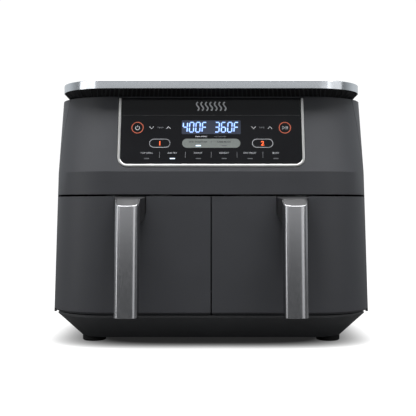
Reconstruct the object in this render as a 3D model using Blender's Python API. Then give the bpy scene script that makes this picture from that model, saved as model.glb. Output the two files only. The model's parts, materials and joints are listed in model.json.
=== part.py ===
"""Two-zone drawer air fryer, as an assembly of separate solids.

Metres, +Z up, front towards -Y. The origin is on the floor, at the centre of the whole
object's footprint, handles and rear spacers included.
"""

import math

import bmesh
import bpy
from mathutils import Matrix, Vector

# ---------------------------------------------------------------- driving dimensions
BODY_WIDTH = 0.392  # across the lower edge of the drawers, the widest place
BODY_DEPTH = 0.291  # lower edge of the drawer fronts to the rear cover
BODY_HEIGHT = 0.316  # floor to the top of the lid
CORNER_RADIUS = 0.070  # vertical front corners, seen from above
REAR_RADIUS = 0.038  # vertical rear corners
HANDLE_REACH = 0.053  # drawer fronts to the foremost point of the handles
REAR_SPACER = 0.008  # ribs that keep the rear cover off a wall

# ---------------------------------------------------------------- heights that stack up
FOOT_HEIGHT = 0.0072
BASE_HEIGHT = 0.0273  # black base, from its underside to its rim
SHADOW_GAP = 0.0043  # dark line between base rim and drawers
SEAM = 0.0022  # visible gap above the drawers
BAND_HEIGHT = 0.0273  # upright band between the drawers and the ridge
LEAN_HEIGHT = 0.0913  # leaning part, from the ridge to the housing's top
VENT_HEIGHT = 0.0075  # louvre ring between housing and lid
LID_HEIGHT = 0.010

# ---------------------------------------------------------------- shape of the body
SIDE_DRAFT = 0.0044  # the drawers' lower edge stands this much wider than the ridge
LEAN_BACK = 0.024  # the front at the housing's top lies this far behind the ridge
LEAN_SIDE = 0.0023  # and each side this far inside it
BASE_INSET = 0.034  # the base's underside lies this far inside the drawers' lower edge
LIP_INSET = 0.0055  # the base's raised lip lies this far inside that edge
LIP_RISE = 0.0028  # raised lip of the base above its rim
PANEL_RISE = 0.0015  # lower edge of side panels and rear cover above that rim, so the lip hides it
WALL = 0.003
FLANGE = 0.016  # top flange that carries the louvre ring
EDGE = 0.0025  # chamfer along the drawers' lower edge

# ---------------------------------------------------------------- fits
CLEAR = 0.0004  # between pieces that touch
CUT = 0.010  # how far a cutter runs past what it cuts
CENTRE_GAP = 0.0015  # between the two drawers
SIDE_SEAM = 0.0008  # between drawer fronts or fascia and the side panels
DRAWER_WRAP = 0.055  # how far the drawer fronts reach round the corners
DRAWER_DEPTH = 0.036  # thickness of the hollow drawer front
WRAP_WALL = 0.0026  # the part that reaches round the corner, a little thinner than the rest

# ---------------------------------------------------------------- cooking zones
CAVITY_GAP = 0.012  # between the two cavity liners
CAVITY_SIDE = 0.0009  # between a liner's corner and the inside of the housing
CAVITY_BACK = 0.024  # between a liner's rear wall and the rear cover
CAVITY_FRONT_GAP = 0.0015  # between the drawers' inner panels and the liners
LINER_LIFT = 0.0010  # the liners' floor above the base's lip
SHEET = 0.0012  # steel sheet of liners, domes and guards
LINER_TOP_DROP = 0.005  # the liners' roof lies this far below the drawers' top
RAIL_WIDTH = 0.0065  # formed ledge that the basket's rim slides on
RAIL_HEIGHT = 0.0035
BASKET_WALL = 0.0018
BASKET_RIM = 0.006
BASKET_DRAFT = 0.004  # the basket's floor is this much narrower on each side
BASKET_CORNER = 0.018
BASKET_STEPS = 3  # facets in a corner of the basket or its plate
BASKET_REAR_GAP = 0.010  # behind the basket's rim
BASKET_SIDE_GAP = 0.0033  # between the basket's upper edge and the ledges
BASKET_LIFT = 0.0065  # the basket's floor above the liner's underside
BASKET_DROP = 0.012  # the basket's rim below the liner's roof
BASKET_FLOOR_ROUND = 0.006  # chamfer round the basket's floor
PLATE_THICKNESS = 0.0015
PLATE_LEG = 0.016  # height of the silicone bumpers under the crisper plate
PLATE_GAP = 0.0025  # round the crisper plate
PLATE_HOLES = (4, 6)
PLATE_HOLE_RADIUS = 0.0065
BUMPER_RADIUS = 0.005
BUMPER_EDGE = 0.0012

# ---------------------------------------------------------------- machinery
DOME_MARGIN = 0.007  # between the dome's flange and the liner's sides, or the fascia's floor
DOME_FLANGE = 0.004
DOME_HEIGHT = 0.0415
DOME_CHAMFER = 0.004  # round the dome's roof
GUARD_MARGIN = 0.003  # the fan guard's edge inside the dome's flange
GUARD_SEAT = 0.005  # how far the guard rests on the liner's roof
GUARD_SLOTS = 12
GUARD_SLOT_WIDTHS = (0.006, 0.018)  # at a slot's inner and outer end
SHAFT_RADIUS = 0.004
SHAFT_CLEAR = 0.0005
FAN_CLEAR = 0.003  # between the convection fan's blades and the heating coil
FAN_HEIGHT = 0.014
FAN_BLADES = 8
FAN_DROP = 0.0065  # the convection fan's top below the dome's
ELEMENT_TUBE = 0.0032  # radius of the heating tube
ELEMENT_CLEAR = 0.008  # between the heating coil and the dome's wall
ELEMENT_LIFT = 0.0105  # the coil above the dome's lower edge
ELEMENT_TURNS = 1.75
ELEMENT_SPREAD = 4.5  # from the coil's outer to its inner turn, in tube radii
TERMINAL_CLEAR = 0.0015  # round the tube where it passes the dome
TERMINAL_DROP = 0.003  # the tube's ends below the motor deck
BLADE_WALL = 0.0012
BLADE_SWEEP = 0.35  # how far a blade's tip runs ahead of its root, in radians
BLADE_ROOT = 0.59  # share of the hub's round that the blades' roots take
DISC_SHARE = 0.8  # a fan's disc as a share of its radius
DECK_RISE = 0.007  # the motor deck above the domes
DECK_MARGIN = 0.006  # between the deck and the housing's wall
DECK_CORNER = 0.030
DECK_BORE_CLEAR = 0.003  # round the shaft
MOTOR_RADIUS = 0.032
MOTOR_HEIGHT = 0.036
MOTOR_FLANGE = 0.006
MOTOR_FLANGE_THICKNESS = 0.002
MOTOR_SHOULDER = 0.003  # the boss above the can's roof
MOTOR_BOSS = 0.012
COOLING_RISE = 0.006  # the cooling fan above the motor
COOLING_BLADES = 6
COOLING_RADIUS = 0.042
COOLING_HEIGHT = 0.010
SHAFT_END = 0.003  # how far the shaft passes its fans
PROBE_RADIUS = 0.0025
PROBE_IN = 0.014  # probe's centre from the liner's rear wall and side
PROBE_TIP = 0.006  # below the liner's roof, and its collar above
PROBE_STEM = 0.018
NUB_HALF = (0.003, 0.002)  # half width and half height of the drawer switch's plunger
NUB_PLACE = 0.6  # its place from the liner's middle, as a share of the half width
SWITCH_DEPTH = 0.010
SWITCH_SIDE = 0.006  # the switch's body beside its plunger
SWITCH_LOW = 0.008  # and below it
SWITCH_HIGH = 0.004  # and above it

# ---------------------------------------------------------------- control panel
PANEL_MARGIN = 0.0102  # between the bezel and where the front corners start to turn
PANEL_LOW = 0.0054  # bezel's lower edge above the ridge, along the slope
PANEL_TOP = 0.0016  # strip of fascia left above the panel
PANEL_CORNER = 0.012
BEZEL_WIDTH = 0.0030
BEZEL_PROUD = 0.0008
LENS_THICKNESS = 0.0028
BOARD_BEHIND = 0.012
BOARD_MARGIN = 0.012
BOARD_THICKNESS = 0.0016
DISPLAY_SIZE = (0.072, 0.018)
DISPLAY_RISE = 0.0495  # display's centre above the ridge, along the slope
POWER_BOARD_LENGTH = 0.090
POWER_BOARD_LIFT = 0.006  # above the motor deck
POWER_BOARD_IN = 0.020  # its middle in front of the rear cover's seam
POWER_BOARD_GAP = 0.008  # between it and the motors' flanges

# ---------------------------------------------------------------- handles
HANDLE_WIDTH = 0.0280
HANDLE_THICKNESS = 0.018
HANDLE_CURVE = 0.012  # depth of the rounded front of the handle's section
HANDLE_ROUND = 3.0  # exponent of that rounding: 2 is an ellipse
HANDLE_LEAN = 0.012  # the foot of the handle stands out further than its head by this
HANDLE_DROP = 0.0115  # front of the handle's head below the drawers' top
HANDLE_FOOT = 0.0026  # lower end of the handle above the drawers' lower edge
HANDLE_SLOPE = 0.46  # rise of the handle's head towards the drawer
HANDLE_INWARD = 0.0012  # handles stand this much nearer the middle than their drawers
COVER_WALL = 0.001
CAP_THICKNESS = 0.003
NECK_WIDTH = 0.0355
NECK_HEIGHT = 0.0205
NECK_GUSSET = 0.011  # how much deeper the neck is where it meets the grip
NECK_GAP = 0.0009
NECK_SINK = 0.004  # how far the neck reaches into the grip
NECK_STEP = 0.006  # and how far below the grip's head it starts
PANEL_SLAB = 0.003  # inner panel of a drawer

# ---------------------------------------------------------------- lid and feet
LID_FRONT = 0.0110  # lid's front edge behind the drawers' lower edge
LID_SIDE = 0.0118
LID_BACK = 0.010
LID_CORNER = 0.062
TRIM_WALL = 0.0012
TRIM_LIP = 0.004
LOUVRE_WALL = 0.0025
LOUVRE_INSET = 0.003  # the ring's lower edge inside the housing's front top edge
LOUVRE_MARGIN = 0.0075  # and inside the lid's edge at the sides and rear
LOUVRE_STEP = 0.0015  # the ring's upper edge inside the lid's
LOUVRE_LEDGE = 0.010  # ledge on top of the ring that carries the lid
FOOT_RADIUS = 0.0145
FOOT_IN_X = 0.0505
FOOT_IN_FRONT = 0.062
FOOT_IN_BACK = 0.056
FOOT_EDGE = 0.0012

# ---------------------------------------------------------------- rear
REAR_PANEL = 0.050  # depth of the rear cover's rounded sides
SLOT_COUNT = 7
SLOT_LENGTH = 0.070
SLOT_HEIGHT = 0.004
SLOT_PITCH = 0.0090
SPACER_SIZE = (0.012, 0.090)
SPACER_X = 0.030
GLAND_RADIUS = 0.0075
GLAND_FLANGE = 0.011
GLAND_BORE = 0.0035
GLAND_IN = 0.004  # how far the gland passes the rear wall inwards
GLAND_OUT = 0.006  # and outwards
GLAND_X = -0.120
GLAND_RISE = 0.030  # above the base's rim

# ---------------------------------------------------------------- worked-out places
FRONT = HANDLE_REACH - (BODY_DEPTH + HANDLE_REACH + REAR_SPACER) / 2
BACK = FRONT + BODY_DEPTH
HALF = BODY_WIDTH / 2
BASE_TOP = FOOT_HEIGHT + BASE_HEIGHT
DRAWER_BOTTOM = BASE_TOP + SHADOW_GAP
LID_BOTTOM = BODY_HEIGHT - LID_HEIGHT
HOUSING_TOP = LID_BOTTOM - VENT_HEIGHT
RIDGE = HOUSING_TOP - LEAN_HEIGHT
FASCIA_BOTTOM = RIDGE - BAND_HEIGHT
DRAWER_TOP = FASCIA_BOTTOM - SEAM
SEAM_Y = FRONT + DRAWER_WRAP
REAR_SEAM_Y = BACK - REAR_PANEL
LIP_TOP = BASE_TOP + LIP_RISE
PANEL_BOTTOM = BASE_TOP + PANEL_RISE

ARC_STEPS = 12  # facets in a quarter turn of a body corner


def side_inset(z):
    """How far the body's side lies inside the drawers' lower edge, at height z."""
    if z <= RIDGE:
        return SIDE_DRAFT * (z - DRAWER_BOTTOM) / (RIDGE - DRAWER_BOTTOM)
    return SIDE_DRAFT + LEAN_SIDE * (z - RIDGE) / LEAN_HEIGHT


def front_inset(z):
    """How far the body's front lies behind the drawers' lower edge, at height z."""
    if z <= RIDGE:
        return side_inset(z)
    return SIDE_DRAFT + LEAN_BACK * (z - RIDGE) / LEAN_HEIGHT


def inner_reach(behind, end_radius, inset):
    """Half the width inside the wall where a rounded end has reached this far behind its front."""
    radius = end_radius - WALL
    along = min(0.0, behind - inset - end_radius)
    return HALF - inset - end_radius + math.sqrt(radius * radius - along * along)


# The liners' outer corners fit inside the body's rounded corners, front and rear.
CORNER_INSET = side_inset(DRAWER_TOP)
CAVITY_OUTER = -CAVITY_SIDE + min(
    inner_reach(DRAWER_DEPTH + CAVITY_FRONT_GAP, CORNER_RADIUS, CORNER_INSET),
    inner_reach(CAVITY_BACK, REAR_RADIUS, CORNER_INSET),
)
CAVITY_HALF = (CAVITY_OUTER - CAVITY_GAP / 2) / 2
ZONE_X = (CAVITY_OUTER + CAVITY_GAP / 2) / 2
CAVITY_FRONT = FRONT + DRAWER_DEPTH + CAVITY_FRONT_GAP
CAVITY_REAR = BACK - CAVITY_BACK
CAVITY_FLOOR = LIP_TOP + LINER_LIFT
CAVITY_ROOF = DRAWER_TOP - LINER_TOP_DROP
BASKET_FRONT = FRONT + DRAWER_DEPTH + CLEAR
BASKET_BACK = CAVITY_REAR - SHEET - BASKET_REAR_GAP
BASKET_HALF = CAVITY_HALF - SHEET - RAIL_WIDTH - BASKET_SIDE_GAP
BASKET_FLOOR = CAVITY_FLOOR + BASKET_LIFT
BASKET_TOP = CAVITY_ROOF - BASKET_DROP
ZONE_Y = (BASKET_FRONT + BASKET_BACK) / 2
DOME_RADIUS = min(CAVITY_HALF, ZONE_Y - SEAM_Y, CAVITY_REAR - ZONE_Y) - DOME_MARGIN
GUARD_RADIUS = DOME_RADIUS - GUARD_MARGIN
GUARD_BOTTOM = CAVITY_ROOF + CLEAR
DOME_BOTTOM = GUARD_BOTTOM + SHEET + CLEAR
DOME_TOP = DOME_BOTTOM + DOME_HEIGHT
DOME_WALL_RADIUS = DOME_RADIUS - DOME_FLANGE
DECK_BOTTOM = DOME_TOP + DECK_RISE
DECK_TOP = DECK_BOTTOM + SHEET
MOTOR_BOTTOM = DECK_TOP + CLEAR
MOTOR_TOP = MOTOR_BOTTOM + MOTOR_HEIGHT
COOLING_BOTTOM = MOTOR_TOP + COOLING_RISE
FAN_TOP = DOME_TOP - FAN_DROP
ELEMENT_Z = DOME_BOTTOM + ELEMENT_LIFT
ELEMENT_OUTER = DOME_WALL_RADIUS - ELEMENT_CLEAR
ELEMENT_INNER = ELEMENT_OUTER - ELEMENT_SPREAD * ELEMENT_TUBE
PLATE_BOTTOM = BASKET_FLOOR + BASKET_WALL + CLEAR + PLATE_LEG + CLEAR
HANDLE_TOP = DRAWER_TOP - HANDLE_DROP
HANDLE_BOTTOM = DRAWER_BOTTOM + HANDLE_FOOT
HANDLE_X = (CENTRE_GAP / 2 + HALF - side_inset(DRAWER_TOP)) / 2 - HANDLE_INWARD


# ---------------------------------------------------------------- shared tools
def clear_scene():
    for old in list(bpy.data.objects):
        bpy.data.objects.remove(old)


def material(name, colour, roughness, metallic=0.0):
    """One Principled BSDF per finish, made once and shared."""
    made = bpy.data.materials.get(name)
    if made:
        return made
    made = bpy.data.materials.new(name)
    made.use_nodes = True
    shader = made.node_tree.nodes["Principled BSDF"]
    shader.inputs["Base Color"].default_value = (*colour, 1.0)
    shader.inputs["Roughness"].default_value = roughness
    shader.inputs["Metallic"].default_value = metallic
    return made


def charcoal():
    return material("charcoal_plastic", (0.055, 0.057, 0.062), 0.45)


def black():
    return material("black_plastic", (0.012, 0.012, 0.013), 0.5)


def gloss_black():
    return material("gloss_black_lens", (0.008, 0.008, 0.010), 0.08)


def brushed():
    return material("brushed_steel", (0.55, 0.56, 0.57), 0.30, 1.0)


def bright():
    return material("bright_trim", (0.80, 0.80, 0.80), 0.15, 1.0)


def sheet_steel():
    return material("sheet_steel", (0.42, 0.43, 0.44), 0.38, 1.0)


def nonstick():
    return material("nonstick_coating", (0.045, 0.045, 0.048), 0.35)


def rubber():
    return material("silicone_rubber", (0.03, 0.03, 0.03), 0.8)


def circuit():
    return material("circuit_board", (0.02, 0.10, 0.05), 0.5)


def link(name, mesh, finish):
    made = bpy.data.objects.new(name, mesh)
    bpy.context.scene.collection.objects.link(made)
    if finish:
        mesh.materials.append(finish)
    return made


def from_bmesh(name, bm, finish, smooth_angle=35.0):
    """Turns a closed bmesh into an object, faces outwards and round faces smooth."""
    bmesh.ops.recalc_face_normals(bm, faces=bm.faces)
    mesh = bpy.data.meshes.new(name)
    bm.to_mesh(mesh)
    bm.free()
    mesh.shade_smooth()
    mesh.set_sharp_from_angle(angle=math.radians(smooth_angle))
    return link(name, mesh, finish)


def loft(rings, closed=False):
    """Joins rings of equally many points. An open loft is capped, a closed one is a tube."""
    bm = bmesh.new()
    rows = [[bm.verts.new(p) for p in ring] for ring in rings]
    count = len(rows[0])
    pairs = list(zip(rows, rows[1:]))
    if closed:
        pairs.append((rows[-1], rows[0]))
    for low, high in pairs:
        for i in range(count):
            j = (i + 1) % count
            bm.faces.new((low[i], low[j], high[j], high[i]))
    if not closed:
        bm.faces.new(rows[0])
        bm.faces.new(rows[-1])
    return bm


def clip(bm, *planes):
    """Cuts a convex bmesh by planes, each a point and the normal of the side cut away."""
    for point, normal in planes:
        geometry = bm.verts[:] + bm.edges[:] + bm.faces[:]
        cut = bmesh.ops.bisect_plane(
            bm, geom=geometry, plane_co=point, plane_no=normal, clear_outer=True
        )
        rim = [e for e in cut["geom_cut"] if isinstance(e, bmesh.types.BMEdge)]
        bmesh.ops.edgeloop_fill(bm, edges=rim)
    bmesh.ops.triangulate(bm, faces=bm.faces)
    return bm


def add_box(bm, low, high):
    low, high = Vector(low), Vector(high)
    place = Matrix.Translation((low + high) / 2) @ Matrix.Diagonal((*(high - low), 1.0))
    bmesh.ops.create_cube(bm, size=1.0, matrix=place)
    return bm


def boxes(*corners):
    bm = bmesh.new()
    for low, high in corners:
        add_box(bm, low, high)
    return bm


def circle(radius, z, centre=(0.0, 0.0), segments=32):
    turns = [2 * math.pi * i / segments for i in range(segments)]
    return [(centre[0] + radius * math.cos(t), centre[1] + radius * math.sin(t), z) for t in turns]


def turned(profile, centre=(0.0, 0.0), segments=32, bored=False):
    """A turned solid from (radius, height) points. A bored one joins its last point to its first."""
    return loft([circle(r, z, centre, segments) for r, z in profile], closed=bored)


def prism(outline, z_low, z_high):
    return loft([[(x, y, z_low) for x, y in outline], [(x, y, z_high) for x, y in outline]])


def helper(name, bm):
    """A cutter: it shapes other objects and isn't a piece itself."""
    made = from_bmesh(name, bm, None)
    made.hide_render = True
    made.display_type = "WIRE"
    return made


def combine(target, other, operation="DIFFERENCE"):
    modifier = target.modifiers.new(other.name, "BOOLEAN")
    modifier.operation = operation
    modifier.object = other
    return target


def rounded(half_width, front, back, front_radius, back_radius, z, steps=ARC_STEPS):
    """A rounded rectangle seen from above, anticlockwise from the front right corner."""
    corners = (
        (half_width - front_radius, front + front_radius, front_radius, -90),
        (half_width - back_radius, back - back_radius, back_radius, 0),
        (-half_width + back_radius, back - back_radius, back_radius, 90),
        (-half_width + front_radius, front + front_radius, front_radius, 180),
    )
    points = []
    for cx, cy, radius, start in corners:
        for i in range(steps + 1):
            turn = math.radians(start + 90 * i / steps)
            points.append((cx + radius * math.cos(turn), cy + radius * math.sin(turn), z))
    return points


def shift_x(bm, offset):
    bmesh.ops.translate(bm, vec=(offset, 0, 0), verts=bm.verts)
    return bm


def body_outline(z, inset=0.0):
    """The body's outline at height z, moved inwards by inset."""
    return rounded(
        HALF - side_inset(z) - inset,
        FRONT + front_inset(z) + inset,
        BACK - inset,
        CORNER_RADIUS - inset,
        REAR_RADIUS - inset,
        z,
    )


def base_outline(z, inset, shelf=0.0):
    """The base's outline. A shelf moves its front edge back, to leave a ledge."""
    return rounded(
        HALF - inset,
        FRONT + max(inset, shelf),
        BACK - inset,
        CORNER_RADIUS - inset,
        max(REAR_RADIUS - inset, WALL),
        z,
    )


def mirrored(bm):
    """The left-hand copy of a right-hand shape."""
    bmesh.ops.scale(bm, vec=(-1, 1, 1), verts=bm.verts)
    return bm


# ---------------------------------------------------------------- base and feet
def base_pan():
    """Black moulded tray, chamfered all round, with a shelf under the drawer fronts."""
    rim_inset = BASE_INSET * SHADOW_GAP / (DRAWER_BOTTOM - FOOT_HEIGHT)
    shelf = DRAWER_DEPTH + WALL
    inner = LIP_INSET + WALL
    rings = [
        base_outline(FOOT_HEIGHT, BASE_INSET),
        base_outline(BASE_TOP, rim_inset),
        base_outline(BASE_TOP, LIP_INSET),
        base_outline(LIP_TOP, LIP_INSET),
        base_outline(LIP_TOP, inner, shelf),
        base_outline(BASE_TOP - WALL, inner, shelf),
        base_outline(BASE_TOP - WALL, inner),
        base_outline(FOOT_HEIGHT + WALL, BASE_INSET + WALL),
    ]
    from_bmesh("base_pan", loft(rings), black())


def feet():
    """Four rubber feet, chamfered where they meet the floor."""
    profile = [
        (FOOT_RADIUS - FOOT_EDGE, 0.0),
        (FOOT_RADIUS, FOOT_EDGE),
        (FOOT_RADIUS, FOOT_HEIGHT - CLEAR),
    ]
    for side, x in (("left", -1), ("right", 1)):
        for end, y in (("front", FRONT + FOOT_IN_FRONT), ("rear", BACK - FOOT_IN_BACK)):
            centre = (x * (HALF - FOOT_IN_X), y)
            from_bmesh(f"foot_{end}_{side}", turned(profile, centre, 24), rubber())


# ---------------------------------------------------------------- outer housing
def housing_block(z_low, *planes):
    """The body's outer shape from z_low to the housing's top, cut by planes."""
    heights = [z_low, RIDGE, HOUSING_TOP]
    return clip(loft([body_outline(z) for z in heights]), *planes)


def housing_hollow(name, z_low):
    """What is cut from a housing block: the inside, and the opening in the top flange."""
    flange_low = HOUSING_TOP - WALL
    rings = [
        body_outline(z_low, WALL),
        body_outline(RIDGE, WALL),
        body_outline(flange_low, WALL),
        body_outline(flange_low, FLANGE),
        body_outline(HOUSING_TOP, FLANGE),
    ]
    top = [(x, y, HOUSING_TOP + CUT) for x, y, _ in rings[-1]]
    return helper(name, loft([*rings, top]))


def panel_place():
    """The control panel's own frame: X along the ridge, Y up the slope, Z outwards."""
    slope = math.atan2(LEAN_BACK, LEAN_HEIGHT)
    ridge_point = Vector((0, FRONT + front_inset(RIDGE), RIDGE))
    return Matrix.Translation(ridge_point) @ Matrix.Rotation(math.pi / 2 - slope, 4, "X")


PANEL_HALF = HALF - SIDE_DRAFT - CORNER_RADIUS - PANEL_MARGIN
PANEL_HEIGHT = math.hypot(LEAN_BACK, LEAN_HEIGHT) - PANEL_LOW - PANEL_TOP


def panel_outline(inset, top_inset):
    """The panel's outline up the slope: square above, rounded below."""
    half = PANEL_HALF - inset
    low, high = PANEL_LOW + inset, PANEL_LOW + PANEL_HEIGHT - top_inset
    radius = PANEL_CORNER - inset
    points = [(half, high), (-half, high)]
    for cx, start in ((-half + radius, 180), (half - radius, 270)):
        for i in range(7):
            turn = math.radians(start + 15 * i)
            points.append((cx + radius * math.cos(turn), low + radius + radius * math.sin(turn)))
    return points


def on_panel(bm):
    bmesh.ops.transform(bm, matrix=panel_place(), verts=bm.verts)
    return bm


def front_fascia():
    """Upper front of the housing: an upright band, a ridge and a leaning face."""
    block = housing_block(FASCIA_BOTTOM, ((0, SEAM_Y - SIDE_SEAM, 0), (0, 1, 0)))
    fascia = from_bmesh("front_fascia", block, charcoal())
    combine(fascia, housing_hollow("cut_fascia_inside", FASCIA_BOTTOM + WALL))
    opening = prism(panel_outline(0, 0), -CUT, CUT)
    combine(fascia, helper("cut_panel_opening", on_panel(opening)))


def side_panels():
    """Flat sides of the housing, between fascia and rear cover."""
    hollow = housing_hollow("cut_side_inside", PANEL_BOTTOM - CUT)
    for name, side in (("side_panel_left", -1), ("side_panel_right", 1)):
        block = housing_block(
            PANEL_BOTTOM,
            ((0, SEAM_Y, 0), (0, -1, 0)),
            ((0, REAR_SEAM_Y - CLEAR, 0), (0, 1, 0)),
            ((side * ZONE_X, 0, 0), (-side, 0, 0)),
        )
        combine(from_bmesh(name, block, charcoal()), hollow)


def rear_cover():
    """Black rear shell with exhaust slots behind each zone, a cord hole and two spacers."""
    block = housing_block(PANEL_BOTTOM, ((0, REAR_SEAM_Y, 0), (0, -1, 0)))
    cover = from_bmesh("rear_cover", block, black())
    combine(cover, housing_hollow("cut_rear_inside", PANEL_BOTTOM - CUT))
    slots = []
    for x in (-ZONE_X, ZONE_X):
        for i in range(SLOT_COUNT):
            z = DECK_TOP + 2 * SLOT_HEIGHT + i * SLOT_PITCH
            slots.append(
                (
                    (x - SLOT_LENGTH / 2, BACK - WALL - CUT, z),
                    (x + SLOT_LENGTH / 2, BACK + CUT, z + SLOT_HEIGHT),
                )
            )
    combine(cover, helper("cut_rear_slots", boxes(*slots)))
    hole = turned([(GLAND_RADIUS + CLEAR, -CUT), (GLAND_RADIUS + CLEAR, CUT)], segments=24)
    bmesh.ops.transform(hole, matrix=gland_place(), verts=hole.verts)
    combine(cover, helper("cut_gland_hole", hole))
    width, height = SPACER_SIZE
    low = FASCIA_BOTTOM - height
    ribs = [
        ((x - width / 2, BACK - WALL / 2, low), (x + width / 2, BACK + REAR_SPACER, low + height))
        for x in (-ZONE_X + SPACER_X, ZONE_X - SPACER_X)
    ]
    combine(cover, helper("add_rear_spacers", boxes(*ribs)), "UNION")


def gland_place():
    """The cord gland's frame: Z points out of the rear cover."""
    centre = Vector((GLAND_X, BACK, BASE_TOP + GLAND_RISE))
    return Matrix.Translation(centre) @ Matrix.Rotation(-math.pi / 2, 4, "X")


def cord_gland():
    """Bush that grips the mains cord where it passes the rear cover."""
    profile = [
        (GLAND_RADIUS, -WALL - GLAND_IN),
        (GLAND_RADIUS, CLEAR),
        (GLAND_FLANGE, CLEAR),
        (GLAND_FLANGE, GLAND_OUT / 2),
        (GLAND_RADIUS, GLAND_OUT),
        (GLAND_BORE, GLAND_OUT),
        (GLAND_BORE, -WALL - GLAND_IN),
    ]
    gland = turned(profile, segments=24, bored=True)
    bmesh.ops.transform(gland, matrix=gland_place(), verts=gland.verts)
    from_bmesh("cord_gland", gland, rubber())


# ---------------------------------------------------------------- louvre ring and lid
def lid_outline(z, inset=0.0):
    return rounded(
        HALF - LID_SIDE - inset,
        FRONT + LID_FRONT + inset,
        BACK - LID_BACK - inset,
        LID_CORNER - inset,
        REAR_RADIUS - inset,
        z,
    )


def louvre_foot(z, inset=0.0):
    """The louvre ring's lower outline, which stands on the housing's top flange."""
    margin = LID_SIDE + LOUVRE_MARGIN + inset
    return rounded(
        HALF - margin,
        FRONT + front_inset(HOUSING_TOP) + LOUVRE_INSET + inset,
        BACK - margin,
        CORNER_RADIUS - margin,
        REAR_RADIUS - margin,
        z,
    )


def louvre_ring():
    """Black ring that flares from the housing's top to the lid, where cooling air leaves."""
    low, high = HOUSING_TOP + CLEAR, LID_BOTTOM - CLEAR
    rings = [
        louvre_foot(low),
        lid_outline(high, LOUVRE_STEP),
        lid_outline(high, LOUVRE_STEP + LOUVRE_WALL + LOUVRE_LEDGE),
        louvre_foot(low, LOUVRE_WALL),
    ]
    from_bmesh("louvre_ring", loft(rings, closed=True), black())


def lid():
    """Steel band with a lip over its top edge, and the panel inside it."""
    rings = [
        lid_outline(LID_BOTTOM),
        lid_outline(BODY_HEIGHT - TRIM_WALL / 2),
        lid_outline(BODY_HEIGHT, TRIM_WALL / 2),
        lid_outline(BODY_HEIGHT, TRIM_LIP),
        lid_outline(BODY_HEIGHT - TRIM_WALL, TRIM_LIP),
        lid_outline(BODY_HEIGHT - TRIM_WALL, TRIM_WALL),
        lid_outline(LID_BOTTOM, TRIM_WALL),
    ]
    from_bmesh("lid_trim", loft(rings, closed=True), brushed())
    under = BODY_HEIGHT - TRIM_WALL - CLEAR
    rings = [
        lid_outline(LID_BOTTOM, TRIM_WALL + CLEAR),
        lid_outline(under, TRIM_WALL + CLEAR),
        lid_outline(under, TRIM_LIP + CLEAR),
        lid_outline(BODY_HEIGHT - CLEAR, TRIM_LIP + CLEAR),
    ]
    from_bmesh("lid_panel", loft(rings), black())


# ---------------------------------------------------------------- control panel
def control_panel():
    """Bright U-shaped bezel, glossy lens, and the board with its display behind them."""
    back = -LENS_THICKNESS
    outer = panel_outline(CLEAR, CLEAR)
    inner = panel_outline(CLEAR + BEZEL_WIDTH, CLEAR)
    # A U: down the left leg and round to the right one, each step a four-sided section.
    count = len(outer)
    order = [*range(1, count), 0]
    rings = [
        [
            (*outer[i], back),
            (*outer[i], BEZEL_PROUD),
            (*inner[i], BEZEL_PROUD),
            (*inner[i], back),
        ]
        for i in order
    ]
    from_bmesh("panel_bezel", on_panel(loft(rings)), bright())
    lens = prism(panel_outline(2 * CLEAR + BEZEL_WIDTH, CLEAR), back, 0.0)
    from_bmesh("panel_lens", on_panel(lens), gloss_black())

    low, high = PANEL_LOW + BOARD_MARGIN, PANEL_LOW + PANEL_HEIGHT - BOARD_MARGIN
    half = PANEL_HALF - BOARD_MARGIN
    board = boxes(((-half, low, -BOARD_BEHIND - BOARD_THICKNESS), (half, high, -BOARD_BEHIND)))
    board = from_bmesh("control_board", on_panel(board), circuit())
    width, height = DISPLAY_SIZE
    display = boxes(
        (
            (-width / 2, DISPLAY_RISE - height / 2, -BOARD_BEHIND - BOARD_THICKNESS / 2),
            (width / 2, DISPLAY_RISE + height / 2, back - CLEAR),
        )
    )
    combine(board, helper("add_display_unit", on_panel(display)), "UNION")


# ---------------------------------------------------------------- cooking zones
def liner_inside():
    """Inside section of a liner: upright walls with a ledge on each for the basket's rim."""
    wall = CAVITY_HALF - SHEET
    ledge = wall - RAIL_WIDTH
    low, high = CAVITY_FLOOR + SHEET, CAVITY_ROOF - SHEET
    rail_top = BASKET_TOP - BASKET_WALL - 2 * CLEAR
    rail_low = rail_top - RAIL_HEIGHT
    right = [(wall, low), (wall, rail_low), (ledge, rail_low), (ledge, rail_top)]
    right += [(wall, rail_top), (wall, high)]
    return right + [(-x, z) for x, z in reversed(right)]


def cavity_liner(number, x):
    """Sheet-steel oven box, open at the front, with a round opening up to the fan."""
    low = (x - CAVITY_HALF, CAVITY_FRONT, CAVITY_FLOOR)
    high = (x + CAVITY_HALF, CAVITY_REAR, CAVITY_ROOF)
    liner = from_bmesh(f"cavity_liner_{number}", boxes((low, high)), sheet_steel())
    section = [(x + dx, z) for dx, z in liner_inside()]
    rings = [[(px, y, z) for px, z in section] for y in (CAVITY_FRONT - CUT, CAVITY_REAR - SHEET)]
    combine(liner, helper(f"cut_liner_inside_{number}", loft(rings)))
    low, high = CAVITY_ROOF - CUT / 2, CAVITY_ROOF + CUT
    radius = GUARD_RADIUS - GUARD_SEAT
    hole = turned([(radius, low), (radius, high)], (x, ZONE_Y))
    combine(liner, helper(f"cut_liner_roof_{number}", hole))
    radius = PROBE_RADIUS + 2 * CLEAR
    hole = turned([(radius, low), (radius, high)], probe_centre(x), 16)
    combine(liner, helper(f"cut_probe_hole_{number}", hole))
    nub = switch_nub(x, CLEAR * 2)
    combine(liner, helper(f"cut_switch_hole_{number}", boxes(nub)))


def probe_centre(x):
    return (x + CAVITY_HALF - PROBE_IN, CAVITY_REAR - PROBE_IN)


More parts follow.
